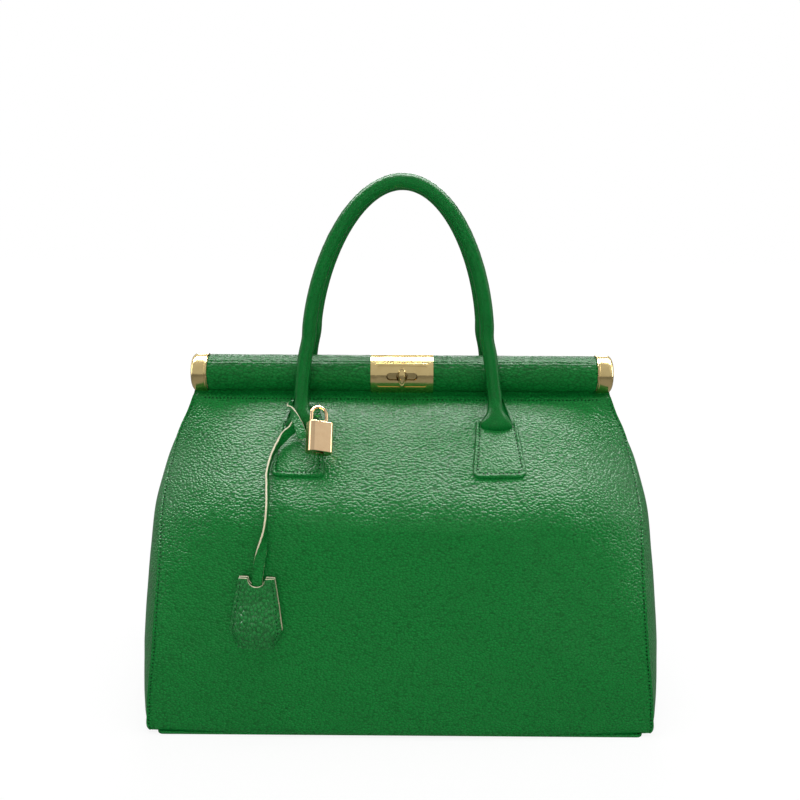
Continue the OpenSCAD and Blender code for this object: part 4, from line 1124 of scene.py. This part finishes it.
def leaf_point(a, b, out, crown):
    """A point of a bell leaf, which swells by crown and is notched for the strap at its top."""
    left, right = straight(b, BELL_LEFT_SHARES) * BELL_W, straight(b, BELL_RIGHT_SHARES) * BELL_W
    x = left + (right - left) * a
    top = BELL_H
    notch = NOTCH_SHARE * BELL_W
    if abs(x) < notch:
        top -= math.sqrt(notch ** 2 - x ** 2) * ease((b - NOTCH_LOW_SHARE)
                                                     / (1 - NOTCH_LOW_SHARE))
    z = top * b
    edge = min(a, 1 - a) * (right - left)
    swell = crown * (1 - math.exp(-edge / 4.5)) * (0.4 + 1.6 * hump(b - 0.32, 0.28))
    swell += 0.25 * uneven(x / 9, z / 7, out)
    # Drawn creases run down from the strap to the lower left
    crease = uneven((x - z * 0.5) / 5, 2, out + 4)
    swell += 0.55 * max(0, crease) * ease((0.6 - b) / 0.4)
    lean_x = x * math.cos(BELL_LEAN) + z * math.sin(BELL_LEAN)
    lean_z = -x * math.sin(BELL_LEAN) + z * math.cos(BELL_LEAN)
    return Vector((BELL_X + lean_x, -out - swell, BELL_LOW_Z + lean_z))


bell_leather = grain_leather("green_bell_leather", cell=2.8, relief=0.0011, gloss=0.28,
                             stretch=(1.3, 1.0, 1.0), shine=0.50)
for name, node, out, crown, way in (
        ("front_bell_leaf", "bell_front", BELL_FRONT_Y, BELL_FRONT_CROWN, -1),
        ("rear_bell_leaf", "bell_back", BELL_BACK_Y, BELL_BACK_CROWN, 1)):
    bm = loft(56, 40, lambda a, b: leaf_point(a, b, out, crown))
    face_away(bm, (0, -way * 1000, 0))
    leaf = make_piece(name, bm, [bell_leather, cream])
    thicken(leaf, BELL_LEAF, rim=1, edge=0.25)
    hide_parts(node)
    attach(leaf, "bell_part")
bm = bmesh.new()
for a in BELL_SEAM_SHARES:
    line = [leaf_point(a, b, BELL_FRONT_Y, BELL_FRONT_CROWN) for b in evenly(0.06, 0.96, 60)]
    stitch_row(bm, spaced(line, BELL_STITCH_PITCH), facing_front, BELL_STITCH)
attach(make_piece("bell_stitches", bm, thread), "bell_part")
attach(bevelled_copy("keys", "gilt_keys", gold, 0.2), "strap_part")

# Padlock. A cast case in a rosier plate with rounded sides, a plug in its foot, and a bent wire
# shackle through the loop's eye.
PADLOCK_PLACE = Vector((-56, -44, 221))
PADLOCK_DIP, PADLOCK_TURN = -30.5, 30
# The case grows by these from its back face, which is this far behind its middle, in metres
CASE_GROWTH, CASE_BACK = (1.10, 1.45, 1, 1), 0.004
WIRE_R, SPAN, LONG_LEG, SHORT_LEG = 1.15, 11, 21, 16
hang = (Matrix.Rotation(math.radians(PADLOCK_DIP), 4, "X")
        @ Matrix.Rotation(math.radians(PADLOCK_TURN), 4, "Z"))
padlock = bevelled_copy("padlock_case", "padlock_body", rose_gold, 0.9, 4)
in_place = Matrix.Translation(PADLOCK_PLACE * MM) @ hang
padlock.data.transform(in_place @ Matrix.Translation((0, CASE_BACK, 0))
                       @ Matrix.Diagonal(CASE_GROWTH)
                       @ Matrix.Translation((0, -CASE_BACK, 0)) @ in_place.inverted())
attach(padlock, "case_part")
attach(bevelled_copy("padlock_plug", "padlock_key_plug", gold, 0.2),
        "case_part")
wire_line = [Vector((-SPAN / 2, 0, -LONG_LEG))]
wire_line += [Vector((-SPAN / 2 * math.cos(math.radians(t)), 0,
                      SPAN / 2 * (math.sin(math.radians(t)) - 1))) for t in range(0, 181, 6)]
wire_line += [Vector((SPAN / 2, 0, -SHORT_LEG))]


def wire_point(a, b):
    i = round(b * (len(wire_line) - 1))
    side = Vector((0, 1, 0))
    turn = 2 * math.pi * a
    return wire_line[i] + (side * math.cos(turn)
                           + direction(wire_line, i).cross(side) * math.sin(turn)) * WIRE_R


bm = closed_tube(len(wire_line) - 1, 24, wire_point)
bmesh.ops.transform(bm, matrix=Matrix.Translation(PADLOCK_PLACE) @ hang, verts=bm.verts)
shackle = make_piece("padlock_wire_shackle", bm, rose_gold, 60)
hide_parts("padlock_shackle")
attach(shackle, "shackle_part")

# Studio. A plain white floor and surround look white to the camera and dimmer in reflections.
# Soft boxes light the leather from above, the front, the sides and behind, and strips that only
# show in shine lay the pale haze on the slopes and the bar.
FLOOR_HALF = 6000
floor_material, floor_tree, floor_shader = new_material("white_floor")
set_inputs(floor_tree, floor_shader, {"Base Color": (0.80, 0.80, 0.80, 1), "Roughness": 0.9,
                                      "Specular IOR Level": 0.1})


def ray_strength(tree, direct, glossy, other):
    """One strength for what the camera sees, one for reflections, and one as a light source."""
    path = add(tree, "ShaderNodeLightPath")
    seen = calculate(tree, "MAXIMUM", path.outputs["Is Camera Ray"],
                     path.outputs["Is Transmission Ray"])
    mirror = remap(tree, path.outputs["Is Glossy Ray"], 0.0, 1.0, other, glossy, smooth=False)
    rest = calculate(tree, "MULTIPLY", mirror, calculate(tree, "SUBTRACT", 1.0, seen))
    return calculate(tree, "ADD", calculate(tree, "MULTIPLY", seen, direct), rest)


glow = add(floor_tree, "ShaderNodeEmission",
           {"Color": (1, 1, 1, 1), "Strength": ray_strength(floor_tree, 1.03, 0.18, 0.0)})
away = add(floor_tree, "ShaderNodeVectorMath", {0: object_place(floor_tree)},
           operation="LENGTH").outputs["Value"]
# The floor glows less near the bag, which keeps the bag's shadow
clear = remap(floor_tree, away, 0.3, 1.2, 0.84, 1.0)
white = calculate(floor_tree, "MULTIPLY", ray_strength(floor_tree, 1.0, 1.0, 0.0), clear)
both = add(floor_tree, "ShaderNodeMixShader",
           {0: white, 1: floor_shader.outputs[0], 2: glow.outputs[0]})
floor_tree.links.new(both.outputs[0], floor_tree.nodes["Material Output"].inputs["Surface"])
bm = bmesh.new()
bmesh.ops.create_grid(bm, x_segments=2, y_segments=2, size=FLOOR_HALF)
make_piece("studio_floor", bm, floor_material)

world = bpy.data.worlds.new("studio")
bpy.context.scene.world = world
world.use_nodes = True
sky = world.node_tree
set_inputs(sky, sky.nodes["Background"],
           {"Color": (1, 1, 1, 1), "Strength": ray_strength(sky, 1.0, 0.52, 0.24)})


def soft_lamp(name, place, target, size, power, kind):
    """A soft box that lights the leather, only shows in its shine, or does both."""
    lamp = bpy.data.lights.new(name, "AREA")
    lamp.shape = "RECTANGLE"
    lamp.size, lamp.size_y = size
    lamp.energy = power
    holder = bpy.data.objects.new(name, lamp)
    bpy.context.scene.collection.objects.link(holder)
    aim = Vector(target) - Vector(place)
    holder.matrix_world = (Matrix.Translation(place)
                           @ aim.to_track_quat("-Z", "Y").to_matrix().to_4x4())
    holder.visible_camera = False
    holder.visible_glossy = kind != "light"
    holder.visible_diffuse = kind != "shine"


soft_lamp("top_soft_box", (0, -0.25, 1.35), (0, -0.04, 0.2), (1.3, 0.6), 11, "light")
soft_lamp("front_soft_box", (0, -2.0, 0.60), (0, 0, 0.15), (1.6, 0.9), 27, "light")
soft_lamp("rear_soft_box", (0, 1.7, 0.9), (0, 0, 0.18), (1.6, 1.0), 20, "light")
soft_lamp("top_strip", (0, 0.20, 1.20), (0, -0.04, 0.2), (2.3, 0.34), 92, "shine")
soft_lamp("left_soft_box", (-1.6, 0.1, 0.5), (0, 0, 0.15), (0.6, 0.9), 3, "both")
soft_lamp("right_soft_box", (1.6, 0.1, 0.5), (0, 0, 0.15), (0.6, 0.9), 6, "both")
soft_lamp("left_strip", (-1.0, 0.72, 0.22), (-0.05, 0, 0.2), (0.25, 0.70), 0.5, "shine")
soft_lamp("right_strip", (0.85, -0.42, 0.85), (-0.05, 0, 0.2), (0.90, 0.70), 0.35, "shine")
soft_lamp("rear_strip", (0, 1.5, 0.9), (0, 0, 0.15), (1.2, 0.3), 12, "shine")

bpy.context.scene.view_settings.view_transform = "Standard"
